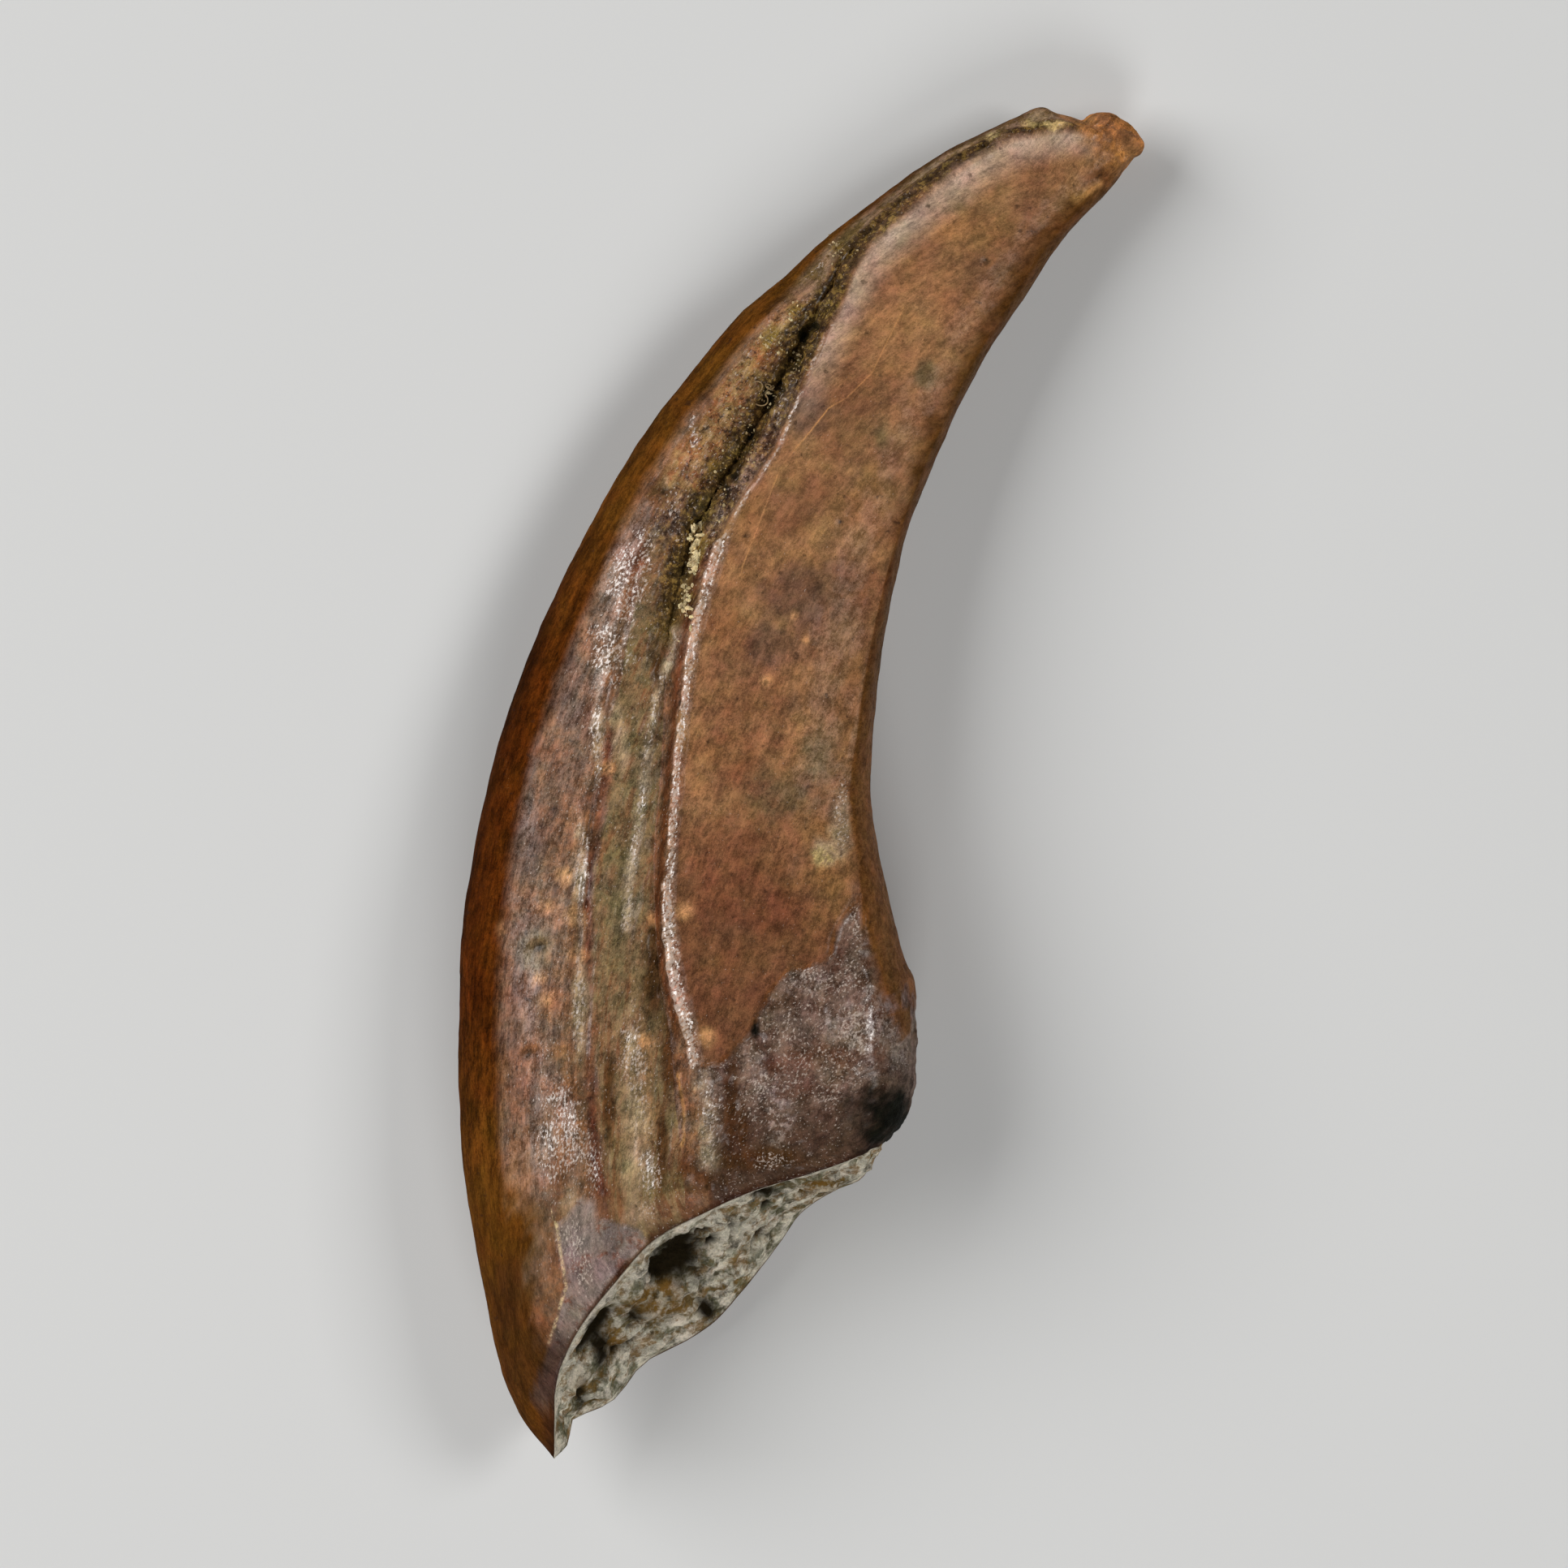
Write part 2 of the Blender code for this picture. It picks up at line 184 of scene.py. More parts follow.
def flank_lines(along, far):
    """Share of depth of the shoulder, groove, crest and corner at each station of one flank."""
    tables = (SHOULDER_LINE, GROOVE_LINE, CREST_LINE, CORNER_LINE)
    shoulder, groove, crest, corner = (curve_at(table, along) for table in tables)
    if far:
        return shoulder, groove + FAR_LINE_SHIFT, crest + FAR_LINE_SHIFT, corner
    return shoulder, groove, crest, corner


def columns(lines, steps):
    """Share of depth of each mesh column, with a column on each of the flank's lines."""
    shoulder, groove, crest, corner = lines
    outer_steps, band_steps, wall_steps, flank_steps, inner_steps = steps
    quarter_turn = math.pi / 2
    turn = np.linspace(0, quarter_turn, outer_steps, endpoint=False)[None]
    band = np.linspace(0, 1, band_steps, endpoint=False)[None]
    wall = np.linspace(0, 1, wall_steps, endpoint=False)[None]
    flank = np.linspace(0, 1, flank_steps, endpoint=False)[None]
    inner = np.linspace(0, quarter_turn, inner_steps + 1)[None]
    return np.hstack(
        (
            shoulder * (1 - np.cos(turn)),
            shoulder + (groove - shoulder) * (1 - (1 - band) ** TOWARDS_GROOVE),
            groove + (crest - groove) * wall,
            crest + (corner - crest) * flank**TOWARDS_CREST,
            corner + (1 - corner) * np.sin(inner),
        )
    )


def flank_height(across, along, lines, far):
    """Height over the middle plane, and how far into the groove each point is, from 0 to 1."""
    shoulder, groove, crest, corner = lines
    half = curve_at(HALF_THICKNESS, along)
    rise = np.clip(1 - across / FULLEST_DEPTH, 0, 1)
    body = np.sqrt(1 - rise**OUTER_ROUNDING)
    fall = np.clip((across - FULLEST_DEPTH) / (corner - FULLEST_DEPTH), 0, 1)
    corner_height = curve_at(CORNER_HEIGHT, along)
    body = body - (1 - corner_height) * fall**INNER_FALL
    turn = np.clip((across - corner) / (1 - corner), 0, 1)
    inner = corner_height * (1 - turn**INNER_ROUNDING) ** (1 / INNER_ROUNDING)
    body = np.where(across > corner, inner, body)
    station = along[:, None]
    narrowing = ease(station, *GROOVE_NARROWS)
    narrow = TROUGH_STEEPNESS + (GROOVE_STEEPNESS - TROUGH_STEEPNESS) * narrowing
    band = np.clip((across - shoulder) / (groove - shoulder), 0, 1)
    wall = np.clip((across - groove) / (crest - groove), 0, 1)
    bench = 0 if far else ease(station, *BENCH_FROM) * (1 - ease(station, *BENCH_TO))
    stepped = BENCH_HEIGHT * ease(wall, *BELOW_BENCH) + (1 - BENCH_HEIGHT) * ease(wall, *ABOVE_BENCH)
    climb = ease(wall) * (1 - bench) + bench * stepped
    sunk = np.where(across < groove, band**narrow, 1 - climb)
    depth = curve_at(GROOVE_DEPTH, along) * (FAR_GROOVE_SHARE if far else 1)
    depth = np.minimum(depth, GROOVE_SHARE_OF_HALF * half)
    lip = CREST_LIP * wall * (1 - ease(across - crest, 0, CREST_REACH))
    step = SHOULDER_STEP * ease(band, 0, SHOULDER_REACH) * (1 - band)
    ridges = 1 - ease(station, *RIDGES_FADE)
    return half * body - depth * sunk + (lip - step) * ridges, sunk


def flank(along, far, steps):
    """One flank: points, outward directions, and what the finish needs to know of each point."""
    lines = flank_lines(along, far)
    across = columns(lines, steps)
    outer = curve_at(OUTER_EDGE, along)[:, None, :]
    inner = curve_at(INNER_EDGE, along)[:, None, :]
    share = across[:, :, None]
    flat = outer * (1 - share) + inner * share
    chord = (inner - outer)[0, 0] / np.linalg.norm((inner - outer)[0, 0])
    towards_tip = np.array((-chord[1], chord[0]))
    rim = curve_at(FAR_RIM if far else NEAR_RIM, across.ravel()).reshape(share.shape)
    fade = np.clip(1 - along / RIM_REACH, 0, 1)[:, None, None] ** RIM_FADE
    flat = flat + rim * fade * towards_tip
    height, sunk = flank_height(across, along, lines, far)
    side = -1 if far else 1
    upright = (PLANE_HEIGHT - PLANE_FALL * along)[:, None] + side * height
    points = np.dstack((flat, upright))
    outward = np.cross(np.gradient(points, axis=0), np.gradient(points, axis=1))
    length = np.linalg.norm(outward, axis=2, keepdims=True)
    outward = outward / np.maximum(length, 1e-9)
    # Outward is up over most of the flank, and turns sideways close to either edge.
    depth_mm = np.linalg.norm(inner - outer, axis=2)
    sideways = (2 * share - 1) ** TOWARDS_EDGES
    away = np.dstack(((inner - outer) / depth_mm[..., None] * sideways, side * (1 - np.abs(sideways))))
    outward = outward * np.where((outward * away).sum(axis=2, keepdims=True) < 0, -1, 1)
    return {
        "points": points,
        "outward": outward,
        "across": across,
        "along": np.broadcast_to(along[:, None], across.shape),
        "lines": lines,
        "sunk": sunk,
        "level": side * height,
        "depth_mm": depth_mm,
        "far": far,
    }


tip_part = np.linspace(TIP_START, 1, TIP_STATIONS)
stations = np.concatenate((np.linspace(0, TIP_START, BODY_STATIONS, endpoint=False), tip_part))
near = flank(stations, False, NEAR_STEPS)
far = flank(stations, True, FAR_STEPS)


# Claw bone: its surface
# Growth lines, worn crests, a smooth outer layer that has peeled from the swelling and from the base,
# pits and cracks. Places on the near flank are x, y in millimetres, seen from above.
PEEL_EDGE = (
    (-3.75, -9.15), (-3.35, -9.45), (-2.66, -9.40), (-2.10, -8.75), (-1.63, -8.21), (-1.40, -7.70),
    (-1.04, -7.05), (-0.55, -6.50), (-0.30, -6.25), (0.18, -6.13), (0.75, -6.00), (1.00, -5.70),
    (1.15, -4.95), (1.60, -4.30), (2.10, -3.60),
)
CHIPPED_PATCH = (
    (-8.06, -14.61), (-7.74, -14.45), (-7.14, -13.58), (-6.60, -14.50), (-5.31, -14.82), (-5.04, -15.17),
    (-5.98, -16.12), (-6.79, -17.20), (-7.60, -18.41), (-8.00, -19.90), (-8.49, -21.11), (-8.95, -20.44),
    (-8.41, -18.90), (-8.11, -17.98), (-7.95, -17.36), (-7.74, -16.63), (-7.95, -15.61),
)
CHIP_LEFT = 12
FLAKED_BAND = (
    (-5.05, 9.48), (-4.05, 9.75), (-3.35, 9.45), (-2.85, 10.05), (-2.20, 11.40), (-1.50, 12.75),
    (-0.70, 14.10), (-0.05, 15.20), (-0.60, 15.45), (-1.50, 14.65), (-2.60, 13.30), (-3.40, 11.95),
    (-4.20, 10.90),
)
RED_LINE = (
    (-6.25, 1.62), (-6.63, -0.46), (-7.06, -3.65), (-7.14, -8.64), (-6.95, -9.67), (-6.76, -12.56),
    (-6.49, -13.61),
)
TROUGH_RIDGE = (
    (-4.01, 4.97), (-4.79, 2.65), (-5.04, 1.03), (-5.31, -1.22), (-5.66, -3.29), (-5.76, -4.83),
)
LOWER_RIDGE = (
    (-5.50, -8.40), (-5.44, -10.64), (-5.39, -11.48), (-5.05, -13.40),
)
CREST_TAIL = (
    (-3.30, -9.75), (-3.12, -10.60), (-3.02, -11.60), (-3.04, -12.60),
)
ORANGE_STRIP = (
    (-4.02, -9.70), (-3.88, -10.6), (-3.80, -11.5), (-3.90, -12.1),
)
TIP_LEDGE = (
    (9.95, 19.90), (9.55, 19.62), (9.20, 19.38),
)
CRACK = (
    (3.44, 15.70), (2.85, 14.50), (2.39, 13.55), (1.55, 12.72), (0.96, 12.39), (0.31, 11.56),
    (-0.31, 10.85), (-0.69, 10.29), (-0.93, 9.69), (-1.39, 8.45), (-1.93, 7.05),
)
INNER_FACE_CRACK = (
    (1.55, -0.90), (1.72, -2.35), (1.95, -2.85), (2.23, -3.57), (2.50, -4.40),
)

# Pits: x, y, radius, depth.
PITS = (
    (-8.68, -5.48, 0.26, 0.16), (-8.17, -0.89, 0.17, 0.10), (-8.95, -9.02, 0.20, 0.11),
    (-3.98, 2.60, 0.12, 0.08), (-1.80, 8.15, 0.14, 0.06), (1.35, 8.60, 0.12, 0.05),
    (6.20, 17.30, 0.15, 0.08), (-4.55, 9.65, 0.24, 0.16), (-1.45, -8.30, 0.22, 0.18),
)

# Stains on the near flank, by the name of their mask: x, y, and the half-widths along x and y.
STAINS = {
    "violet": (
        (0.10, 6.00, 1.5, 1.4), (-1.00, 4.40, 1.0, 1.0), (0.40, 12.40, 1.0, 0.9), (-7.60, 2.80, 0.7, 2.2),
        (-4.60, 8.60, 0.9, 0.8), (-9.00, -2.20, 0.7, 1.6),
    ),
    "red": (
        (-2.20, 0.80, 0.9, 1.1), (-2.30, -3.00, 1.9, 1.5), (-0.60, -4.30, 1.3, 1.0),
        (-9.30, -8.60, 0.8, 3.2), (-6.30, -14.20, 0.7, 1.6), (-5.60, 7.60, 0.5, 2.0),
        (-7.00, 1.80, 0.4, 1.2), (-2.30, 4.90, 0.8, 1.3), (-2.30, -10.8, 0.6, 1.8),
    ),
    "olive": (
        (-5.90, -4.20, 0.50, 2.2), (-5.30, -9.60, 0.40, 1.8), (-0.70, -0.30, 1.2, 0.9),
        (0.90, 0.90, 0.9, 0.9), (2.70, 11.40, 0.4, 0.8), (4.20, 13.50, 0.4, 0.5),
        (-9.60, -16.20, 1.1, 3.0), (-4.90, -6.90, 0.4, 1.7), (-8.70, -5.50, 0.6, 1.0),
    ),
    "gold": (
        (2.40, 9.40, 0.7, 1.8), (2.00, 3.00, 0.8, 1.8), (5.60, 18.20, 1.6, 0.9), (-1.50, 8.80, 0.7, 1.4),
        (-5.20, -10.80, 0.5, 2.4), (1.00, -3.20, 1.2, 1.9), (1.40, 2.20, 0.6, 2.6),
        (-9.60, -13.60, 0.8, 1.4),
    ),
    # Dark strips of brown, as thin as a fibre of the bone.
    "strip": (
        (-4.85, -6.40, 0.42, 1.7), (-4.35, -9.30, 0.34, 1.7), (-4.55, -12.2, 0.26, 1.7),
        (-4.75, 3.20, 0.25, 1.6), (-6.30, -10.6, 0.25, 2.2), (-9.55, -17.4, 0.75, 1.9),
        (-8.95, -19.6, 1.05, 2.2), (-1.60, -12.5, 2.4, 0.45), (-3.50, -12.9, 0.90, 0.70),
        (-2.25, -10.6, 0.28, 1.9), (-1.90, -11.6, 0.22, 1.0), (10.10, 20.2, 0.30, 0.25),
        (11.00, 21.3, 0.25, 0.20),
    ),
    "light": (
        (-5.44, -11.8, 0.58, 3.2), (-5.85, 0.90, 0.22, 0.9), (-5.60, -8.60, 0.25, 1.2),
        (-6.05, 2.00, 0.22, 1.2), (-6.68, 1.50, 0.22, 1.5), (-7.28, -2.50, 0.24, 1.7),
        (-7.30, -7.40, 0.26, 2.8), (-7.55, -14.2, 0.35, 0.9), (1.35, -1.60, 0.35, 1.3),
        (0.90, -2.40, 0.50, 0.45),
    ),
    "dark": (
        (3.30, -11.30, 1.75, 1.40), (2.60, -11.75, 1.10, 0.55), (-1.50, -8.20, 0.15, 0.30),
    ),
    # Patches on the swelling where the outer layer has gone, painted lilac as highlights.
    "lilac": (
        (3.10, -7.95, 0.70, 1.50), (1.80, -8.10, 1.00, 0.90), (-0.70, -10.9, 0.60, 1.20),
        (0.30, -6.70, 0.80, 0.45), (-1.30, -9.80, 0.35, 0.90),
    ),
    # Deep holes in the upper groove, painted black inside as shadow.
    "hole": (
        (-1.61, 11.55, 0.17, 0.34), (-0.98, 12.85, 0.17, 0.34), (-0.66, 13.12, 0.13, 0.24),
        (-0.04, 13.95, 0.20, 0.42), (0.12, 14.74, 0.14, 0.34), (0.52, 15.15, 0.16, 0.20),
        (-2.14, 10.15, 0.15, 0.32), (-2.47, 9.67, 0.14, 0.30), (-3.39, 8.45, 0.14, 0.40),
    ),
    # Golden sand stuck beside the groove.
    "crust": (
        (-0.93, 14.60, 0.40, 0.45), (-0.10, 15.60, 0.32, 0.30), (1.30, 17.75, 0.35, 0.22),
        (-2.90, 10.40, 0.22, 0.35), (-0.10, 14.05, 0.22, 0.18), (-3.35, 7.70, 0.28, 0.60),
        (-3.62, 5.90, 0.20, 0.40),
    ),
}
# The brown foot of the outer edge.
BASE_BROWN = (
    (-9.60, -15.2, 0.98, 2.6), (-9.35, -17.8, 1.05, 2.4), (-9.00, -20.2, 0.90, 2.0),
)
# Small round blooms of pale orange mineral: x, y, radius.
BLOOMS = (
    (-6.36, 0.43, 0.30), (-7.76, -3.16, 0.34), (-8.38, -4.16, 0.28), (-7.44, -4.48, 0.40),
    (-7.30, -5.75, 0.34), (-9.95, -4.86, 0.28), (-10.5, -5.10, 0.22), (-8.44, -7.18, 0.30),
    (-8.63, -6.56, 0.24), (-5.17, -8.64, 0.30), (-3.79, -4.29, 0.36), (-4.85, -4.54, 0.28),
    (-3.04, -8.45, 0.40), (-1.12, 3.35, 0.26), (-0.20, 5.50, 0.20), (0.20, 4.70, 0.14),
    (-10.4, -12.0, 0.24), (-10.2, -12.6, 0.20),
)
# Pale crusts of the rock around the claw: x, y, and the half-widths along x and y.
MATRIX_CRUSTS = (
    (0.77, -2.48, 0.42, 0.36), (7.60, 21.85, 0.30, 0.20), (8.45, 21.78, 0.50, 0.20),
    (6.47, 21.47, 0.26, 0.18),
)
# Places where the gloss is strongest.
HAZY = (
    (-5.90, 6.60, 0.95, 2.8), (-6.40, 3.20, 0.60, 1.4), (-9.10, -0.40, 0.30, 2.0),
    (-9.00, -6.60, 0.40, 2.2), (0.60, 16.3, 0.5, 1.3), (6.20, 20.5, 1.5, 0.4), (-3.65, 12.0, 0.30, 1.0),
    (-1.90, 14.3, 0.35, 0.6), (0.30, 16.7, 0.50, 0.70), (1.20, 17.6, 0.70, 0.45),
    (2.40, 18.6, 0.70, 0.35), (1.80, -8.20, 0.95, 0.85), (3.00, -8.10, 0.75, 1.45),
    (1.20, -6.50, 0.80, 0.45), (-1.25, -9.90, 0.45, 0.90), (-8.00, -11.2, 1.15, 2.8),
    (-7.20, -3.00, 0.28, 2.2), (-7.10, -7.20, 0.55, 3.2), (-5.20, -12.0, 0.60, 2.0),
)
# Places with a sandy sparkle: glints of coat gloss, and pale glint specks painted into the colour.
SPARKLING = (
    (-5.80, 6.30, 0.70, 1.7), (-6.35, 4.20, 0.80, 1.5), (-6.70, 1.60, 0.28, 1.5),
    (-4.30, 9.10, 0.35, 0.9), (-5.10, 7.60, 0.35, 1.3), (-7.18, -2.60, 0.26, 2.0),
    (-6.70, 0.90, 0.26, 1.5), (-7.35, -7.60, 0.22, 1.8), (-7.90, -11.4, 0.9, 2.6),
    (-6.90, -12.6, 0.5, 1.2), (-5.00, -12.9, 0.5, 1.4), (-5.60, -8.80, 0.5, 1.4),
    (1.93, -8.30, 0.85, 0.85), (2.95, -8.05, 0.55, 1.1), (3.40, -9.40, 0.35, 0.6),
    (0.20, -6.40, 0.75, 0.35), (1.50, -6.60, 0.60, 0.45), (-1.25, -9.95, 0.35, 0.8),
    (-1.00, -12.6, 0.70, 0.35), (-7.60, -15.2, 0.50, 0.8), (-7.15, -16.2, 0.45, 0.6),
    (-5.30, -9.90, 0.55, 1.5), (-3.60, 12.0, 0.22, 1.0), (-0.70, 12.6, 0.20, 0.8),
    (0.50, 17.2, 0.50, 0.3), (1.60, 15.8, 0.25, 0.8), (-3.00, -11.0, 0.25, 1.2), (1.40, -1.00, 0.35, 1.6),
    (1.90, -4.50, 0.5, 1.0),
)

# Hollows in the broken spongy bone: share of depth, share of thickness from the near rim to the far one,
# the half-lengths of the hollow in the same two shares, and its depth.
HOLLOWS = (
    (0.25, 0.25, 0.10, 0.20, 0.55), (0.50, 0.28, 0.13, 0.22, 0.65), (0.38, 0.68, 0.08, 0.18, 0.30),
    (0.72, 0.45, 0.07, 0.22, 0.25),
)
BREAK_LUMP = 0.30
BREAK_LUMP_SIZE = 1.7
BREAK_ROUGH = 0.16
PORE_DEPTH = 0.20
PORE_CELL = 0.62

# Stains on the broken face, by the name of their mask: x, y, and the half-widths along x and y.
BREAK_STAINS = {
    "sponge_dark": (
        (-4.00, -15.85, 1.05, 0.95), (-3.70, -15.30, 0.55, 0.50), (-6.55, -18.90, 0.34, 0.95),
        (-6.95, -17.90, 0.25, 0.45), (-7.30, -20.40, 0.25, 0.60), (-1.20, -13.60, 0.70, 0.22),
        (-5.50, -17.75, 0.45, 0.35), (-3.10, -17.60, 0.35, 0.45),
    ),
    "sponge_gold": (
        (-4.70, -17.35, 1.40, 0.80), (-6.10, -18.60, 0.55, 0.80), (-7.30, -20.00, 0.45, 0.50),
        (-4.30, -16.90, 0.60, 0.50), (0.70, -13.45, 0.90, 0.35),
    ),
    "sponge_pale": (
        (-5.50, -16.35, 0.60, 0.45), (-2.20, -15.00, 1.40, 0.80), (-5.40, -18.90, 0.90, 0.60),
        (-7.55, -19.00, 0.25, 1.60), (1.50, -12.90, 0.80, 0.30),
    ),
}

# Length along the middle of the claw, and the share of it where the pattern's curve straightens.
CLAW_LENGTH = 48.0
TIP_STRAIGHTENS = 0.91
TIP_BLEND = 0.03
# How far an uneven edge shifts a stain, and the share of its half-width over which it fades.
STAIN_RAGGED = 0.45
STAIN_FADES = (0.35, 1.25)


def gap_to_line(points, line):
    """Distance in millimetres from each point, seen from above, to a line, and the side as its sign."""
    line = np.array(line)
    places = points[..., :2]
    best = np.full(places.shape[:-1], 1e6)
    side = np.ones_like(best)
    for start, end in zip(line, line[1:]):
        run = end - start
        share = np.clip(((places - start) @ run) / (run @ run), 0, 1)
        apart = places - start - share[..., None] * run
        gap = np.hypot(apart[..., 0], apart[..., 1])
        turn = run[0] * apart[..., 1] - run[1] * apart[..., 0]
        closer = gap < best
        best = np.where(closer, gap, best)
        side = np.where(closer, np.sign(turn), side)
    return best * np.where(side == 0, 1, side)


def depth_inside(points, outline):
    """Distance in millimetres from each point to a closed outline, positive inside it."""
    closed = tuple(outline) + (outline[0],)
    gap = np.abs(gap_to_line(points, closed))
    x, y = points[..., 0], points[..., 1]
    inside = np.zeros(x.shape, bool)
    for (x0, y0), (x1, y1) in zip(closed, closed[1:]):
        crosses = (y0 > y) != (y1 > y)
        rise = y1 - y0 if y1 != y0 else 1e-9
        inside ^= crosses & (x < (x1 - x0) * (y - y0) / rise + x0)
    return np.where(inside, gap, -gap)


def stained(points, stains, ragged):
    """How strongly each point is stained, from 0 to 1, with an uneven edge."""
    strength = np.zeros(points.shape[:-1])
    for x, y, wide, high in stains:
        gap = np.hypot((points[..., 0] - x) / wide, (points[..., 1] - y) / high)
        strength = np.maximum(strength, 1 - ease(gap + STAIN_RAGGED * ragged, *STAIN_FADES))
    return strength


def bone_place(side):
    """Millimetres along, across and through the bone, for patterns that follow its growth."""
    along = side["along"] * CLAW_LENGTH
    across = side["across"] * side["depth_mm"]
    grown = np.dstack((along, across, side["level"]))
    outer, inner = (curve_at(edge, np.array([TIP_STRAIGHTENS]))[0] for edge in (OUTER_EDGE, INNER_EDGE))
    inward = (inner - outer) / np.linalg.norm(inner - outer)
    onward = np.array((-inward[1], inward[0]))
    flat = side["points"][..., :2] - outer
    straight = np.dstack((flat @ onward + TIP_STRAIGHTENS * CLAW_LENGTH, flat @ inward, side["level"]))
    share = ease(side["along"], TIP_STRAIGHTENS - TIP_BLEND, TIP_STRAIGHTENS + TIP_BLEND)[..., None]
    return grown * (1 - share) + straight * share


def line_gap(side, which):
    """Millimetres across the flank from one of its own lines, positive towards the inner edge."""
    return (side["across"] - side["lines"][which]) * side["depth_mm"]


SHOULDER, GROOVE, CREST, CORNER = range(4)
# The y at which the outer edge is darkest, and at which it is reddest, in millimetres.
EDGE_DARKEST = 1.7
EDGE_REDDEST = -2.0

# Shares of length over which things set in, from the base to the tip.
SWELLING_ENDS = (0.25, 0.33)
LAYER_ENDS = (0.27, 0.31)
WIDE_BEAD_ENDS = (0.27, 0.33)
BEAD_FROM = (0.138, 0.146)
BEAD_BROADENS = (0.42, 0.48)
BEAD_THINS = (0.55, 0.58)
UPPER_HALF = (0.42, 0.52)
SAND_FROM = (0.452, 0.50)
TROUGH_ENDS = (0.45, 0.60)
EDGE_STEEPENS = (0.48, 0.60)
GRIT_FROM = (0.50, 0.56)
MARGIN_LOOSENS = (0.50, 0.66)
WORN_CREST = (0.64, 0.73)
UP_TO_CREST = (0.64, 0.70)
NEAR_TIP = (0.70, 0.76)
GROOVE_ENDS = (0.93, 0.97)
TIP_BARE = (0.945, 0.972)
TIP_ROUGH = (0.955, 0.985)
# The bead's middle beside the crest line: shares of length, and millimetres towards the inner edge.
BEAD_STATIONS = (0.14, 0.17, 0.22, 0.27, 0.38)
BEAD_PLACES = (0.06, 0.00, 0.02, 0.14, 0.14)
# Heights and depths of the fine relief, in millimetres.
UNEVENNESS = (0.05, 0.018, 0.008)
FIBRES_IN_TROUGH = 0.030
FIBRES_ELSEWHERE = 0.008
TIP_ROUGHNESS = 0.10
SANDY_SIDES = 0.09
TIP_RIM_HEIGHT = 0.26
BEAD_HEIGHT = 0.10
THIN_BEAD_LOWER = 0.05
CREST_NICKS = 0.06
PEEL_DEPTH = 0.16
PEEL_REACH = 3.2
SWELLING_ROUGHNESS = 0.050
CHIP_DEPTH = 0.10
FLAKE_DEPTH = 0.08
RED_LINE_DEPTH = 0.03
RED_LINE_BANK = 0.05
TROUGH_RIDGE_HEIGHT = 0.045
LOWER_RIDGE_HEIGHT = 0.05
CREST_TAIL_HEIGHT = 0.09
INNER_CRACK_DEPTH = 0.05
ORANGE_LINE_HEIGHT = 0.04
HOLE_DEPTH = 0.10
# Growth fibres: millimetres along, across and through the bone.
FIBRE_SPREAD = (4.0, 0.33, 1.0)


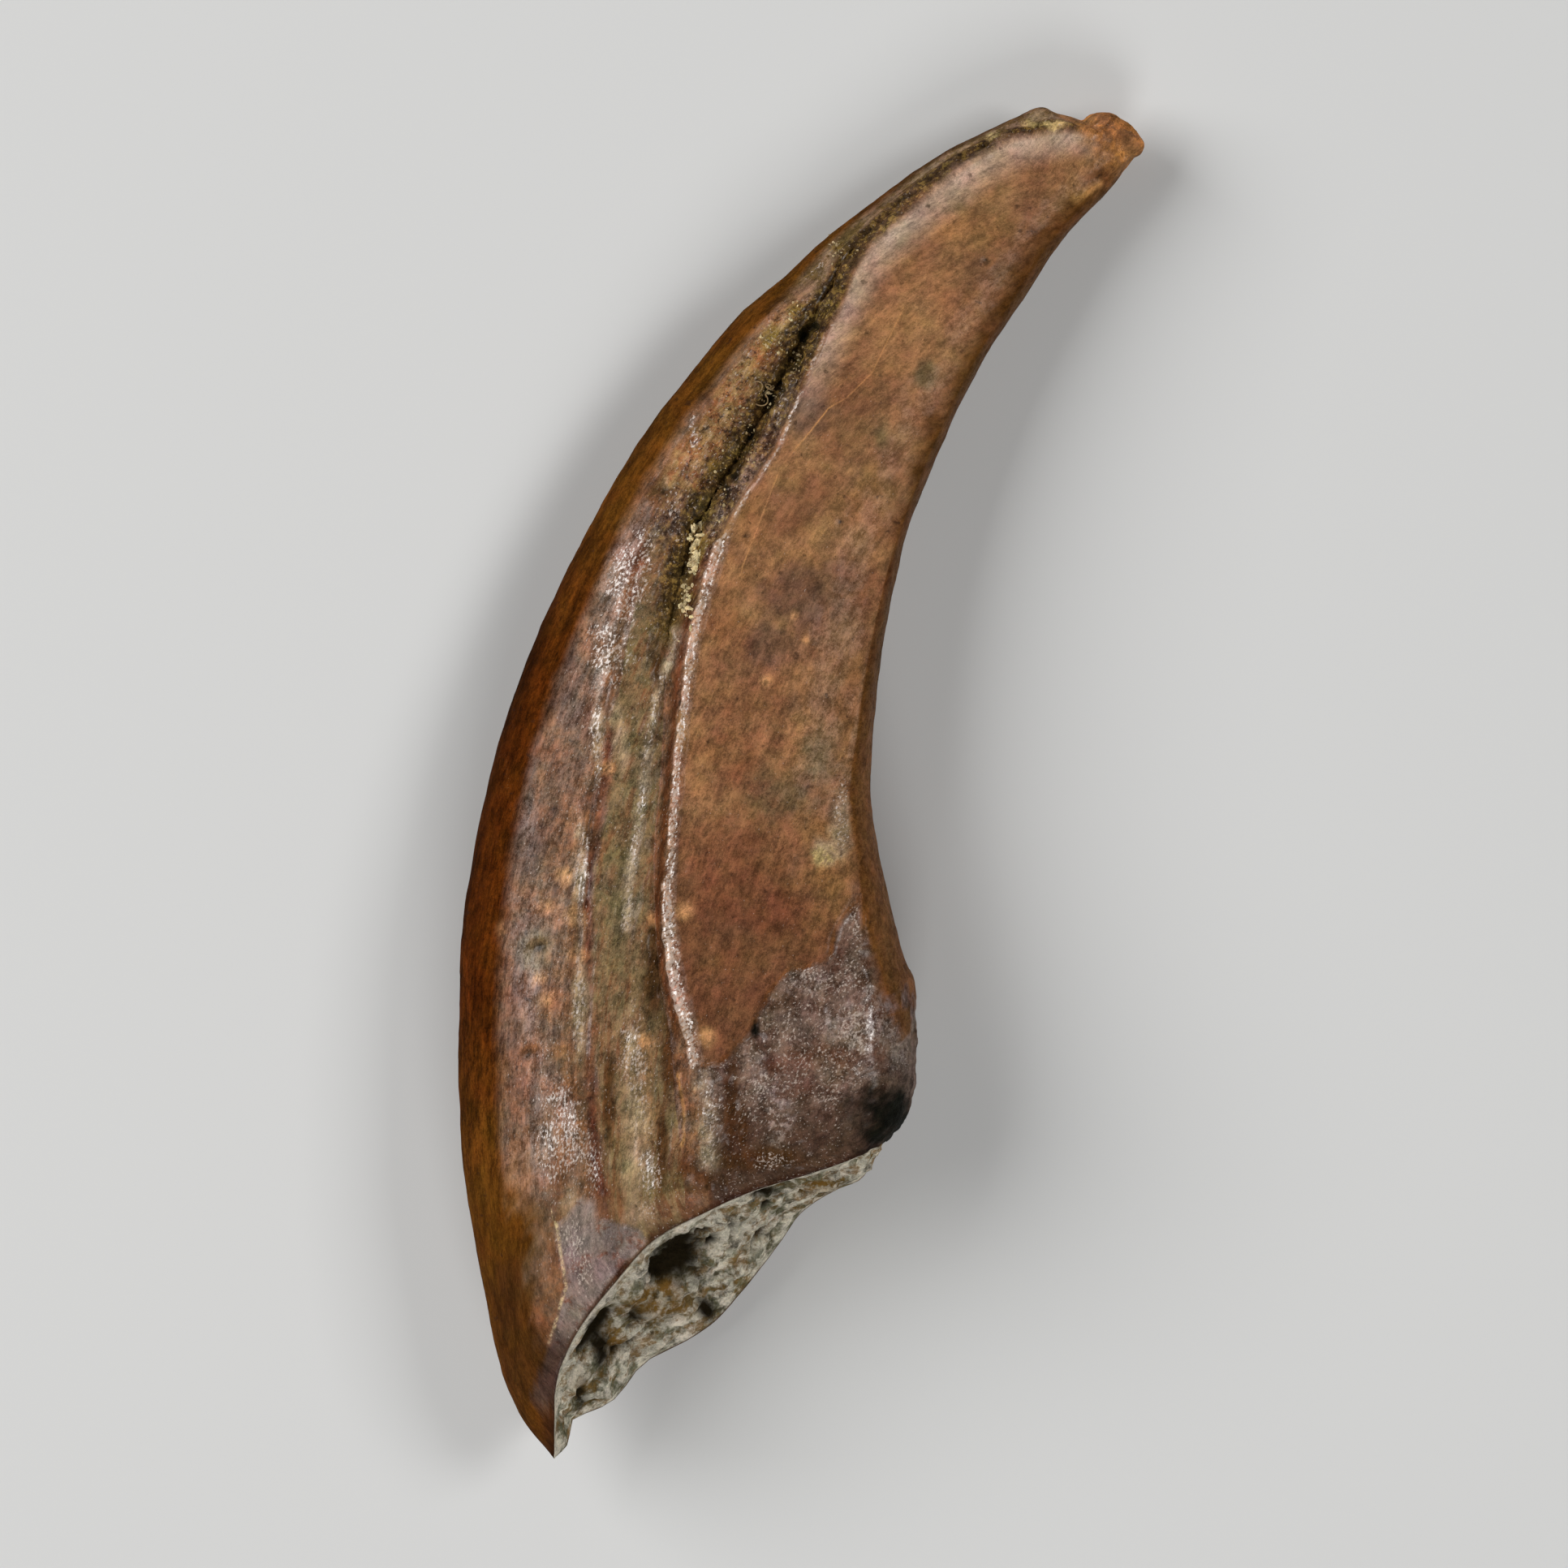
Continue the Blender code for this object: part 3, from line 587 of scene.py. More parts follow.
def finish_flank(side):
    """Raises the fine relief of a flank, in millimetres, and notes the masks that its material reads."""
    points, along = side["points"], side["along"]
    x, y = points[..., 0], points[..., 1]
    coarse = lumps(points, 3.5)
    medium = lumps(points, 0.9)
    fine = lumps(points, 0.32, octaves=2)
    fibres = lumps(bone_place(side) / FIBRE_SPREAD, 1.0, octaves=2)
    ragged = 0.9 * lumps(points + 17.0, 1.5) + 0.7 * lumps(points + 31.0, 0.4)
    shoulder_gap, groove_gap, crest_gap, corner_gap = (
        line_gap(side, which) for which in (SHOULDER, GROOVE, CREST, CORNER)
    )
    upper = ease(along, *UPPER_HALF)
    near_tip = ease(along, *NEAR_TIP)
    below_tip = 1 - near_tip
    tip = ease(along, *TIP_ROUGH)
    thin = ease(along, *BEAD_THINS)
    up_to_crest = ease(along, *UP_TO_CREST)
    band = (shoulder_gap > 0) & (groove_gap < 0)
    in_groove = np.clip(side["sunk"], 0, 1) * (1 - ease(along, *GROOVE_ENDS))
    slant = 1 - np.abs(side["outward"][..., 2])
    high = ease(along, *EDGE_STEEPENS)
    steep = ease(slant + 0.02 * medium, 0.115 + 0.035 * high, 0.205 + 0.065 * high)

    relief = UNEVENNESS[0] * coarse + UNEVENNESS[1] * medium + UNEVENNESS[2] * fine
    relief += fibres * np.where(band, FIBRES_IN_TROUGH, FIBRES_ELSEWHERE)
    relief += in_groove * (0.04 + 0.14 * upper) * lumps(points, 0.5, octaves=3)
    gritty_band = upper * below_tip * ease(-crest_gap, 0.1, 0.4) * ease(shoulder_gap, -0.1, 0.3)
    relief += 0.05 * gritty_band * lumps(points, 0.40, octaves=2)
    relief += tip * (TIP_ROUGHNESS * lumps(points, 0.8) + 0.03 * fine)

    # The groove's sandy sides, which reach up to the crest near the tip.
    start = -0.95 + 0.57 * near_tip
    beside_groove = ease(groove_gap + 0.2 * medium * below_tip, start, start + 0.5 - 0.34 * near_tip)
    worn_gap = crest_gap - 0.22 * ease(along, 0.58, 0.64) * (1 - ease(along, 0.74, 0.80))
    beyond_groove = ease(groove_gap, 0.10, 0.35) * (1 - up_to_crest)
    beyond_groove = beyond_groove + ease(worn_gap + 0.1 * fine, -0.2, 0.05) * up_to_crest
    beside_groove = beside_groove * (1 - beyond_groove) * upper * (1 - tip)
    relief += SANDY_SIDES * beside_groove * below_tip * lumps(points + 9.0, 0.36, octaves=3)
    relief += TIP_RIM_HEIGHT * near_tip * hump(groove_gap - 0.04, 0.26) * (1 - tip)

    # The bead along the crest, wide near the base and thin and broken above the middle.
    bead_gap = crest_gap - np.interp(along, BEAD_STATIONS, BEAD_PLACES) + 0.05 * medium
    bead_start = -0.21 + 0.12 * thin + 0.06 * fine
    wide = 1 - ease(along, *WIDE_BEAD_ENDS)
    bead_end = 0.26 - 0.14 * thin + 0.12 * wide + 0.10 * ease(along, *BEAD_BROADENS) * (1 - thin)
    bead = ease(bead_gap, bead_start, bead_start + 0.10) * (1 - ease(bead_gap, 0.0, bead_end))
    bead = bead * ease(along, *BEAD_FROM) * below_tip * (1 - thin * ease(-medium, -0.1, 0.7))
    bead_height = BEAD_HEIGHT - THIN_BEAD_LOWER * thin
    relief += bead_height * bead * (0.7 + 0.6 * ease(fine + medium, -0.8, 0.8))
    relief -= CREST_NICKS * hump(crest_gap, 0.16) * ease(medium, 0.35, 0.8) * (1 - tip)

    # The inner face keeps its skin down to the swelling, and is bare below it.
    corner_gap = corner_gap - 0.6 * (1 - ease(along, 0.20, 0.27)) + 0.4 * ease(along, 0.58, 0.70)
    loose = ease(along, *MARGIN_LOOSENS)
    margin = corner_gap + (0.05 + 0.35 * loose) * medium
    beyond_corner = ease(margin, -0.05 - 0.30 * loose, 0.15 + 0.35 * loose)
    skin_on_inner = ease(y + 1.1 * medium + 1.6 * lumps(points + 5.0, 1.6), -8.2, -7.4)
    inner_face = beyond_corner * skin_on_inner
    off_inner = 1 - inner_face
    from_dark_middle = ease(np.abs(y - EDGE_DARKEST), 4.0, 8.0)
    off_groove = 1 - ease(groove_gap, -0.1, 0.1) * (1 - ease(crest_gap, 0.2, 0.5))
    gritty = ease(shoulder_gap, -0.1, 0.3) * (1 - ease(crest_gap, -0.1, 0.0))
    rounded = ease(worn_gap, -0.12, 0.12) * (1 - ease(crest_gap, 0.1, 1.3))
    tip_rim = ease(shoulder_gap, -0.30, 0.05) * (1 - ease(groove_gap, -0.40, -0.2))
    bench = ease(groove_gap + 0.08 * fine, 0.20, 0.34) * ease(-crest_gap, -0.1, 0.1)
    wall = hump(bead_gap + 0.34 + 0.05 * fine, 0.10) * ease(along, 0.16, 0.2)
    masks = {
        "groove": in_groove * ease(along, *SAND_FROM) * (1 - 0.8 * near_tip),
        "beside_groove": beside_groove * ease(along, *SAND_FROM),
        "gritty": gritty * ease(along, *GRIT_FROM) * below_tip,
        "bench": bench * thin * below_tip,
        "wall": wall * (1 - thin) * below_tip,
        "bead": bead,
        "rounded": rounded * ease(along, *WORN_CREST) * (1 - tip),
        # Steep and outermost follow how far the flank turns sideways; the material paints them dark as
        # shade.
        "steep": steep * off_inner * off_groove,
        "outermost": ease(slant + 0.06 * coarse, 0.30, 0.70) * off_inner * (1 - 0.75 * from_dark_middle),
        "plate": ease(crest_gap, -0.05, 0.05),
        "inner_face": inner_face,
        "tip": ease(along + 0.012 * medium, *TIP_BARE),
        "tip_rim": tip_rim * near_tip * (1 - tip),
    }
    masks["steep"] *= 1 - 0.8 * masks["tip_rim"]

    # The far flank has worn patches in place of the near one's features, and clouds of stain.
    if side["far"]:
        bare_inner = beyond_corner * (1 - skin_on_inner)
        worn = ease(lumps(points + 30.0, 5.0), 0.18, 0.24) * (1 - ease(along, 0.30, 0.42))
        worn = worn * ease(side["across"] + 0.04 * medium, 0.12, 0.18) * off_inner
        worn = np.maximum(worn, bare_inner)
        relief -= worn * (CHIP_DEPTH - 0.03 * fine)
        near_level = 1 - ease(-side["level"], 0.3, 1.4)
        masks["peeled"] = worn
        masks["steep"] *= 1 - 0.8 * worn
        masks["outermost"] *= 1 - 0.6 * worn
        masks["haze"] = (0.25 + 0.35 * worn) * (1 - steep)
        masks["sparkle"] = 0.5 * worn - 0.8 * steep
        masks["dark"] = stained(points, STAINS["dark"], ragged) * bare_inner * near_level
        masks["violet"] = ease(lumps(points + 50.0, 3.0), 0.1, 0.6)
        masks["olive"] = ease(lumps(points + 60.0, 3.0), 0.2, 0.7)
        masks["red"] = ease(lumps(points + 70.0, 4.0), 0.1, 0.7)
        return relief, masks

    # The swelling, where the outer layer has peeled, and the chipped and flaked patches.
    peel_gap = 0.10 * medium - gap_to_line(points, PEEL_EDGE)
    right_of_crest = ease(crest_gap, -0.1, 0.2)
    swelling = ease(peel_gap, -0.06, 0.08) * right_of_crest * (1 - ease(along, *SWELLING_ENDS))
    swelling = swelling * (1 - ease(-crest_gap, 0, 1)) * off_inner
    relief -= PEEL_DEPTH * swelling * np.exp(-np.clip(peel_gap, 0, None) / PEEL_REACH)
    relief += SWELLING_ROUGHNESS * swelling * lumps(points, 0.45, octaves=3)
    chip = ease(depth_inside(points, CHIPPED_PATCH) + 0.05 * medium, -0.05, 0.07)
    relief -= chip * (CHIP_DEPTH - 0.03 * fine)
    flake = ease(depth_inside(points, FLAKED_BAND) + 0.10 * medium, -0.06, 0.10)
    relief -= flake * (FLAKE_DEPTH - 0.05 * fine)
    chip_border = CHIPPED_PATCH[CHIP_LEFT:] + CHIPPED_PATCH[:1]
    masks["steep"] = np.maximum(masks["steep"] * (1 - 0.8 * swelling), stained(points, BASE_BROWN, ragged))
    masks["outermost"] *= 1 - 0.6 * swelling
    masks["peeled"] = swelling
    masks["peel_gap"] = peel_gap
    masks["layer"] = right_of_crest * (1 - ease(along, *LAYER_ENDS))
    masks["chip"] = chip
    masks["chip_gap"] = gap_to_line(points, chip_border) + 0.05 * medium
    masks["flake"] = flake

    # Ridges, cracks and pits.
    red_gap = gap_to_line(points, RED_LINE) + 0.04 * medium
    ridge_gap = gap_to_line(points, TROUGH_RIDGE)
    tail_gap = gap_to_line(points, CREST_TAIL)
    red_bank = RED_LINE_BANK * hump(red_gap + 0.35, 0.28) * (0.6 + 0.6 * medium)
    relief += red_bank - RED_LINE_DEPTH * hump(red_gap, 0.22)
    relief += TROUGH_RIDGE_HEIGHT * hump(ridge_gap, 0.14) * (1 + fine)
    relief += LOWER_RIDGE_HEIGHT * hump(gap_to_line(points, LOWER_RIDGE), 0.20) * (1 + fibres)
    relief += CREST_TAIL_HEIGHT * hump(tail_gap, 0.28)
    relief -= INNER_CRACK_DEPTH * hump(gap_to_line(points, INNER_FACE_CRACK), 0.09)
    masks["pit"] = np.zeros(along.shape)
    for pit_x, pit_y, radius, depth in PITS:
        pit = hump(np.hypot(x - pit_x, y - pit_y), radius * 0.75)
        relief -= depth * pit
        masks["pit"] = np.maximum(masks["pit"], pit)
    orange_strip = 0.8 * hump(gap_to_line(points, ORANGE_STRIP) + 0.05 * fine, 0.05)
    tip_ledge = hump(gap_to_line(points, TIP_LEDGE) + 0.03 * fine, 0.15)
    masks["orange_line"] = np.maximum(orange_strip, tip_ledge)
    relief += ORANGE_LINE_HEIGHT * masks["orange_line"]
    masks["rim_edge"] = 1 - ease(along * CLAW_LENGTH + 0.15 * medium + 0.08 * fine, 0.05, 0.42)
    masks["red_line"] = hump(red_gap - 0.03 + 0.10 * fine, 0.19) * (0.75 + 0.4 * medium)
    trough = ease(red_gap + 0.2 * medium, 0.05, 0.35) * (1 - ease(along, *TROUGH_ENDS))
    masks["trough"] = np.where(band, trough, 0)
    masks["ridge"] = np.maximum(hump(ridge_gap, 0.15), 0.8 * hump(tail_gap, 0.30))
    masks["crack"] = gap_to_line(points, CRACK)

    # Stains and crusts.
    for name, places in STAINS.items():
        masks[name] = stained(points, places, ragged)
    relief -= HOLE_DEPTH * masks["hole"]
    masks["matrix"] = stained(points, MATRIX_CRUSTS, 0.6 * ragged)
    masks["bloom"] = stained(points, [(*place, place[-1]) for place in BLOOMS], 0.3 * ragged)

    # Soft gloss and sandy sparkle, both missing from steep, sandy and bare places; the sparkle also paints
    # pale glint specks into the colour.
    mirror_free = (1 - masks["steep"]) * (1 - 0.8 * masks["groove"]) * (1 - 0.6 * tip)
    hazy = stained(points, HAZY, ragged)
    foot = ease(-y, 10.4, 12.0)
    haze = (0.26 + 0.12 * coarse + 0.55 * hazy) * ease(crest_gap, 0, -0.3)
    haze *= 1 - 0.8 * ease(y, -14.5, -16.0)
    haze = np.maximum(haze, 0.16 + (0.36 + 0.55 * hazy) * swelling * (1 - 0.7 * foot))
    haze = np.maximum(haze * (1 - 0.6 * bead), (0.7 + 0.5 * hazy) * masks["rounded"])
    haze = np.maximum(haze, 0.55 * chip * ease(y + 0.6 * medium, -17.6, -16.0))
    masks["haze"] = haze * mirror_free * (1 - masks["dark"])
    sparkle = stained(points, SPARKLING, ragged)
    for glint in (
        0.62 * swelling * (1 - 0.6 * foot) * ease(coarse + medium, -1.1, 0.4),
        1.1 * hump(ridge_gap, 0.16) * ease(medium, -0.6, 0.1),
        0.8 * hump(tail_gap, 0.26),
        0.26 * masks["gritty"],
    ):
        sparkle = np.maximum(sparkle, glint)
    dull = 1.5 * masks["steep"] + (0.35 + 0.5 * near_tip) * masks["plate"] * (1 - swelling)
    sparkle = (sparkle * mirror_free - dull) * (1 - bead) + (1.25 + 0.2 * thin + 0.35 * wide) * bead
    masks["sparkle"] = sparkle - 2 * masks["dark"] - 1.5 * inner_face
    return relief, masks


near_relief, near_masks = finish_flank(near)
far_relief, far_masks = finish_flank(far)
# Towards both edges the far flank takes over the relief of the near one, so that the two meet.
edge_relief = np.where(far["across"] < 0.5, near_relief[:, :1], near_relief[:, -1:])
from_edge = ease(-far["level"], 0.0, 0.8)
far_relief = far_relief * from_edge + edge_relief * (1 - from_edge)
near_surface = near["points"] + near["outward"] * near_relief[..., None]
far_surface = far["points"] + far["outward"] * far_relief[..., None]
near_surface[..., 2] = np.maximum(near_surface[..., 2], 0)
far_surface[..., 2] = np.maximum(far_surface[..., 2], 0)
far_surface[:, 0] = near_surface[:, 0]
far_surface[:, -1] = near_surface[:, -1]


def broken_base():
    """Rows of points from the near rim to the far one, and how deep each lies in the spongy bone."""
    near_rim = near_surface[0]
    far_rim = np.empty_like(near_rim)
    far_rim[0::2] = far_surface[0]
    far_rim[1::2] = (far_surface[0, 1:] + far_surface[0, :-1]) / 2
    across = near["across"][0]
    chord = near_rim[-1] - near_rim[0]
    slope = (far_rim - near_rim).mean(axis=0)
    outward = np.cross(slope, chord)
    outward = outward / np.linalg.norm(outward)
    outward = outward * (-1 if outward[1] > 0 else 1)
    share = (np.arange(1, BREAK_STEPS) / BREAK_STEPS)[:, None]
    rows = near_rim * (1 - share[..., None]) + far_rim * share[..., None]
    room = np.linalg.norm(far_rim - near_rim, axis=1)
    inside = np.minimum(share, 1 - share) * room
    lump = lumps(rows, BREAK_LUMP_SIZE) * BREAK_LUMP
    for t, s, wide, deep, depth in HOLLOWS:
        gap = np.sqrt(((across - t) / wide) ** 2 + ((share - s) / deep) ** 2)
        lump = lump - depth * (1 - ease(gap))
    rough = lumps(rows, 0.7, octaves=4, falloff=0.5)
    cells = (rows.reshape(-1, 3) / PORE_CELL).tolist()
    nearest = np.array([noise.voronoi(place)[0][0] for place in cells]).reshape(rough.shape)
    pores = 1 - ease(nearest, 0.12, 0.5)
    sponge = BREAK_ROUGH * rough - PORE_DEPTH * pores
    lump = lump * ease(inside, 0, 0.9) + ease(inside, 0.25, 0.9) * sponge
    lump = lump + 0.02 * lumps(rows, 0.25, octaves=2) * ease(inside, 0, 0.2)
    ragged = 0.5 * lumps(rows + 5.0, 0.7, octaves=4, falloff=0.5)
    masks = {name: stained(rows, places, ragged) for name, places in BREAK_STAINS.items()}
    masks["sunken"] = -lump
    masks["rim"] = 1 - ease(share * room + 0.15 * ragged, 0.15, 0.50)
    return rows + outward * lump[..., None], masks


break_rows, break_masks = broken_base()


def in_mesh_order(near_values, far_values, break_values):
    """One row for each vertex: near flank, tip, far flank without its edges, and broken base."""
    width = near_values.shape[2:]
    parts = (near_values[:-1], near_values[-1:, :1], far_values[:-1, 1:-1], break_values[:, 1:-1])
    return np.concatenate([part.reshape((-1,) + width) for part in parts])


def claw_faces():
    """Quads over both flanks and the broken base, with triangles where a fine row meets a coarse one."""
    rows = len(stations) - 1
    near_width, far_width = near_surface.shape[1], far_surface.shape[1]
    near_id = np.arange(rows * near_width).reshape(rows, near_width)
    tip_id = near_id.size
    inner_id = tip_id + 1 + np.arange(rows * (far_width - 2)).reshape(rows, far_width - 2)
    far_id = np.hstack((near_id[:, :1], inner_id, near_id[:, -1:]))
    first = inner_id.size + tip_id + 1
    middle_id = first + np.arange((BREAK_STEPS - 1) * (near_width - 2)).reshape(-1, near_width - 2)
    ends = np.ones((len(middle_id), 1), int)
    middle_id = np.hstack((ends * near_id[0, 0], middle_id, ends * near_id[0, -1]))
    break_id = np.vstack((near_id[:1], middle_id))

    def quads(grid):
        corners = (grid[:-1, :-1], grid[1:, :-1], grid[1:, 1:], grid[:-1, 1:])
        return np.stack(corners, axis=-1).reshape(-1, 4).tolist()

    faces = quads(near_id) + [face[::-1] for face in quads(far_id) + quads(break_id)]
    last = break_id[-1]
    for k in range(far_width - 1):
        a, b, c = last[2 * k : 2 * k + 3]
        start, end = far_id[0, k], far_id[0, k + 1]
        faces += [(a, b, start), (b, end, start), (b, c, end)]
    for ring in (near_id[-1], far_id[-1]):
        faces += [(ring[k], ring[k + 1], tip_id) for k in range(len(ring) - 1)]
    return [tuple(dict.fromkeys(face)) for face in faces]


def claw_mesh():
    """The claw's closed mesh in metres, placed as the solid is, and its origin in millimetres."""
    everything = in_mesh_order(near_surface, far_surface, break_rows)
    outline = np.concatenate((near["points"].reshape(-1, 3), far["points"].reshape(-1, 3)))
    low, high = outline.min(axis=0), outline.max(axis=0)
    origin = np.array(((low[0] + high[0]) / 2, (low[1] + high[1]) / 2, 0))
    mesh = bpy.data.meshes.new("claw_bone")
    faces = [face for face in claw_faces() if len(face) > 2]
    mesh.from_pydata(((everything - origin) * MM).tolist(), [], faces)
    shape = bmesh.new()
    shape.from_mesh(mesh)
    bmesh.ops.recalc_face_normals(shape, faces=shape.faces)
    shape.to_mesh(mesh)
    shape.free()
    mesh.shade_smooth()
    return mesh, origin


def note(mesh, name, values):
    """Keeps a number or a direction at each vertex, for the material to read by name."""
    kind, key = ("FLOAT_VECTOR", "vector") if values.ndim == 2 else ("FLOAT", "value")
    mesh.attributes.new(name, kind, "POINT").data.foreach_set(key, values.astype(np.float32).ravel())


claw_shape, ORIGIN = claw_mesh()
break_masks["broken"] = np.ones(break_rows.shape[:2])
for name in sorted(set(near_masks) | set(far_masks) | set(break_masks)):
    near_values = near_masks.get(name, np.zeros(near["along"].shape))
    far_values = far_masks.get(name, np.zeros(far["along"].shape))
    break_values = break_masks.get(name, np.zeros(break_rows.shape[:2]))
    note(claw_shape, name, in_mesh_order(near_values, far_values, break_values))
note(claw_shape, "place", in_mesh_order(bone_place(near), bone_place(far), break_rows))


# Claw bone: its finish
# Bone stained brown by minerals and cleaned to a soft gloss: tan and red-brown clouds, olive troughs,
# worn crests made pale in part by painted highlights, grey-violet where the outer layer has gone, with
# painted lilac highlights, pale grey sponge at the break, and painted pale glint specks. Painted shade
# darkens the steep edges, the groove's floor, the holes and pits, and the hollows of the break.
def new_group(name, inputs, outputs):
    """A shader node group, the outputs of its start and the inputs of its end."""
    group = bpy.data.node_groups.new(name, "ShaderNodeTree")
    for label, kind, value in inputs:
        socket = group.interface.new_socket(label, in_out="INPUT", socket_type=kind)
        if value is not None:
            socket.default_value = value
    for label, kind in outputs:
        group.interface.new_socket(label, in_out="OUTPUT", socket_type=kind)
    start = group.nodes.new("NodeGroupInput")
    end = group.nodes.new("NodeGroupOutput")
    return group, start.outputs, end.inputs


class Finish:
    """Adds nodes to one material or group, each call giving back the new node's output."""

    def __init__(self, tree):
        self.tree = tree

    def add(self, kind, values=(), **settings):
        node = self.tree.nodes.new(kind)
        for key, value in settings.items():
            setattr(node, key, value)
        for key, value in dict(values).items():
            if isinstance(value, bpy.types.NodeSocket):
                self.feed(node, key, value)
            else:
                node.inputs[key].default_value = value
        return node

    def feed(self, node, name, source):
        """Links a node's output to another one's input."""
        self.tree.links.new(source, node.inputs[name])

    def mask(self, name, output="Fac"):
        """What was noted at each vertex under this name."""
        return self.add("ShaderNodeAttribute", attribute_name=name).outputs[output]

    def math(self, operation, first, second=0.0, third=0.0):
        return self.add("ShaderNodeMath", {0: first, 1: second, 2: third}, operation=operation).outputs[0]

    def scaled(self, vector, factors):
        """A place stretched along its three axes, which squeezes the pattern read there."""
        values = {0: vector, 1: factors}
        return self.add("ShaderNodeVectorMath", values, operation="MULTIPLY").outputs[0]

    def cloud(self, vector, scale, detail=3.0, roughness=0.5):
        """Uneven noise, from 0 to 1."""
        values = {"Vector": vector, "Scale": scale, "Detail": detail, "Roughness": roughness}
        return self.add("ShaderNodeTexNoise", values).outputs["Fac"]

    def tints(self, vector, scale, strength):
        """Three unrelated clouds, as factors of about 1 for red, green and blue."""
        values = {"Vector": vector, "Scale": scale, "Detail": 2.0, "Roughness": 0.6}
        cloud = self.add("ShaderNodeTexNoise", values).outputs["Color"]
        values = {0: cloud, 1: (strength,) * 3, 2: (1 - strength / 2,) * 3}
        return self.add("ShaderNodeVectorMath", values, operation="MULTIPLY_ADD").outputs[0]

    def between(self, value, low, high, bottom=0.0, top=1.0):
        """A smooth step from bottom to top while the value goes from low to high."""
        values = {"Value": value, "From Min": low, "From Max": high, "To Min": bottom, "To Max": top}
        node = self.add("ShaderNodeMapRange", values, interpolation_type="SMOOTHSTEP")
        return node.outputs["Result"]

    def mix(self, share, below, above, blend="MIX"):
        """One colour over another; the numbers are the colour inputs and output of the mix node."""
        values = {0: share, 6: below, 7: above}
        return self.add("ShaderNodeMix", values, data_type="RGBA", blend_type=blend).outputs[2]

    def fade(self, below, above, *step):
        """One colour that turns into another over a smooth step of a value."""
        return self.mix(self.between(*step), below, above)

    def share(self, *factors):
        """The product of numbers, node outputs and masks given by name."""
        factors = [self.mask(factor) if isinstance(factor, str) else factor for factor in factors]
        product = factors[0]
        for factor in factors[1:]:
            product = self.math("MULTIPLY", product, factor)
        return product

    def paint(self, below, above, *factors):
        """The upper colour over the lower one, by the product of the factors."""
        return self.mix(self.share(*factors), below, above)


def new_finish(name):
    """A new material, the Finish that adds its nodes, and its shader."""
    material = bpy.data.materials.new(name)
    material.use_nodes = True
    return material, Finish(material.node_tree), material.node_tree.nodes["Principled BSDF"]


def placed(name, data, material=None):
    """An object of a mesh with its material, or of a light or camera, put into the scene."""
    if material:
        data.materials.append(material)
    made = bpy.data.objects.new(name, data)
    bpy.context.scene.collection.objects.link(made)
    return made


def colour(red, green, blue):
    """A colour as a screen shows it, 0 to 255, turned into light."""
    return tuple(((part / 255 + 0.055) / 1.055) ** 2.4 for part in (red, green, blue)) + (1.0,)


# Mineral grain, shared by the bone and the grains in its groove: sandy tints, glints and a fine unevenness.
grain_group, grain_in, grain_out = new_group(
    "mineral_grain",
    (
        ("Place", "NodeSocketVector", None),
        ("Fineness", "NodeSocketFloat", 2.0),
        ("Sparkle", "NodeSocketFloat", 0.0),
    ),
    (("Tint", "NodeSocketColor"), ("Glint", "NodeSocketFloat"), ("Height", "NodeSocketFloat")),
)
grain = Finish(grain_group)
unevenness = grain.cloud(grain_in["Place"], grain_in["Fineness"], 5.0, 1.0)
shade = grain.mix(grain.between(unevenness, 0.34, 0.66), (0.42, 0.41, 0.41, 1), (1.66, 1.66, 1.64, 1))
tints = grain.tints(grain_in["Place"], grain_in["Fineness"], 0.2)
facets = grain.cloud(grain_in["Place"], grain.math("MULTIPLY", grain_in["Fineness"], 6.0), 3.0, 0.6)
facets = grain.math("MULTIPLY_ADD", grain_in["Sparkle"], 0.14, facets)
grain_group.links.new(grain.mix(1.0, shade, tints, "MULTIPLY"), grain_out["Tint"])
grain_group.links.new(grain.between(facets, 0.62, 0.76), grain_out["Glint"])
grain_group.links.new(unevenness, grain_out["Height"])

BONE_ROUGHNESS = 0.52
BUMP_HEIGHT = 0.12 * MM
PLATE_TAN = colour(158, 114, 76)
PLATE_BROWN = colour(136, 94, 64)
LOW_BROWN = colour(112, 72, 48)
BAND_BROWN = colour(134, 92, 62)
BAND_GREY = colour(112, 86, 66)
BONE_RED = colour(116, 66, 44)
LINE_RED = colour(92, 46, 32)
VIOLET_BROWN = colour(96, 72, 60)
OLIVE_GREY = colour(106, 95, 66)
TROUGH_TAN = colour(152, 127, 90)
TROUGH_BROWN = colour(108, 76, 50)
STRIP_BROWN = colour(72, 43, 17)
GOLD_BROWN = colour(156, 112, 68)
# Edge browns, dark in part as painted shade where the flank turns away.
EDGE_ORANGE = colour(78, 37, 5)
EDGE_SHADE_BROWN = colour(52, 24, 2)
EDGE_OLIVE = colour(96, 58, 16)
INNER_FACE_BROWN = colour(90, 56, 19)
INNER_FACE_TAN = colour(116, 74, 34)
WALL_BROWN = colour(98, 58, 34)
GROOVE_OLIVE = colour(106, 86, 48)
GROOVE_SIDE = colour(66, 49, 26)
# Darkest groove tone, painted as shade on the groove's floor.
GROOVE_SHADE_DARK = colour(44, 33, 16)
BENCH_MAUVE = colour(126, 98, 80)
BENCH_BROWN = colour(88, 62, 44)
GRIT_TAN = colour(148, 116, 74)
GRIT_GOLD = colour(128, 102, 52)
LIGHT_TAN = colour(172, 148, 116)
RIM_BROWN = colour(58, 32, 18)
# Pale tones of the bead, the ridges and the worn crest, standing in part for painted highlights.
BEAD_TAN_AND_HIGHLIGHT = colour(188, 152, 128)
RIDGE_PALE_HIGHLIGHT = colour(184, 163, 134)
ROUNDED_PAINTED_HIGHLIGHT = colour(190, 163, 142)
SWELLING_BROWN = colour(124, 102, 88)
SWELLING_DARK = colour(72, 53, 42)
SWELLING_RED = colour(102, 62, 44)
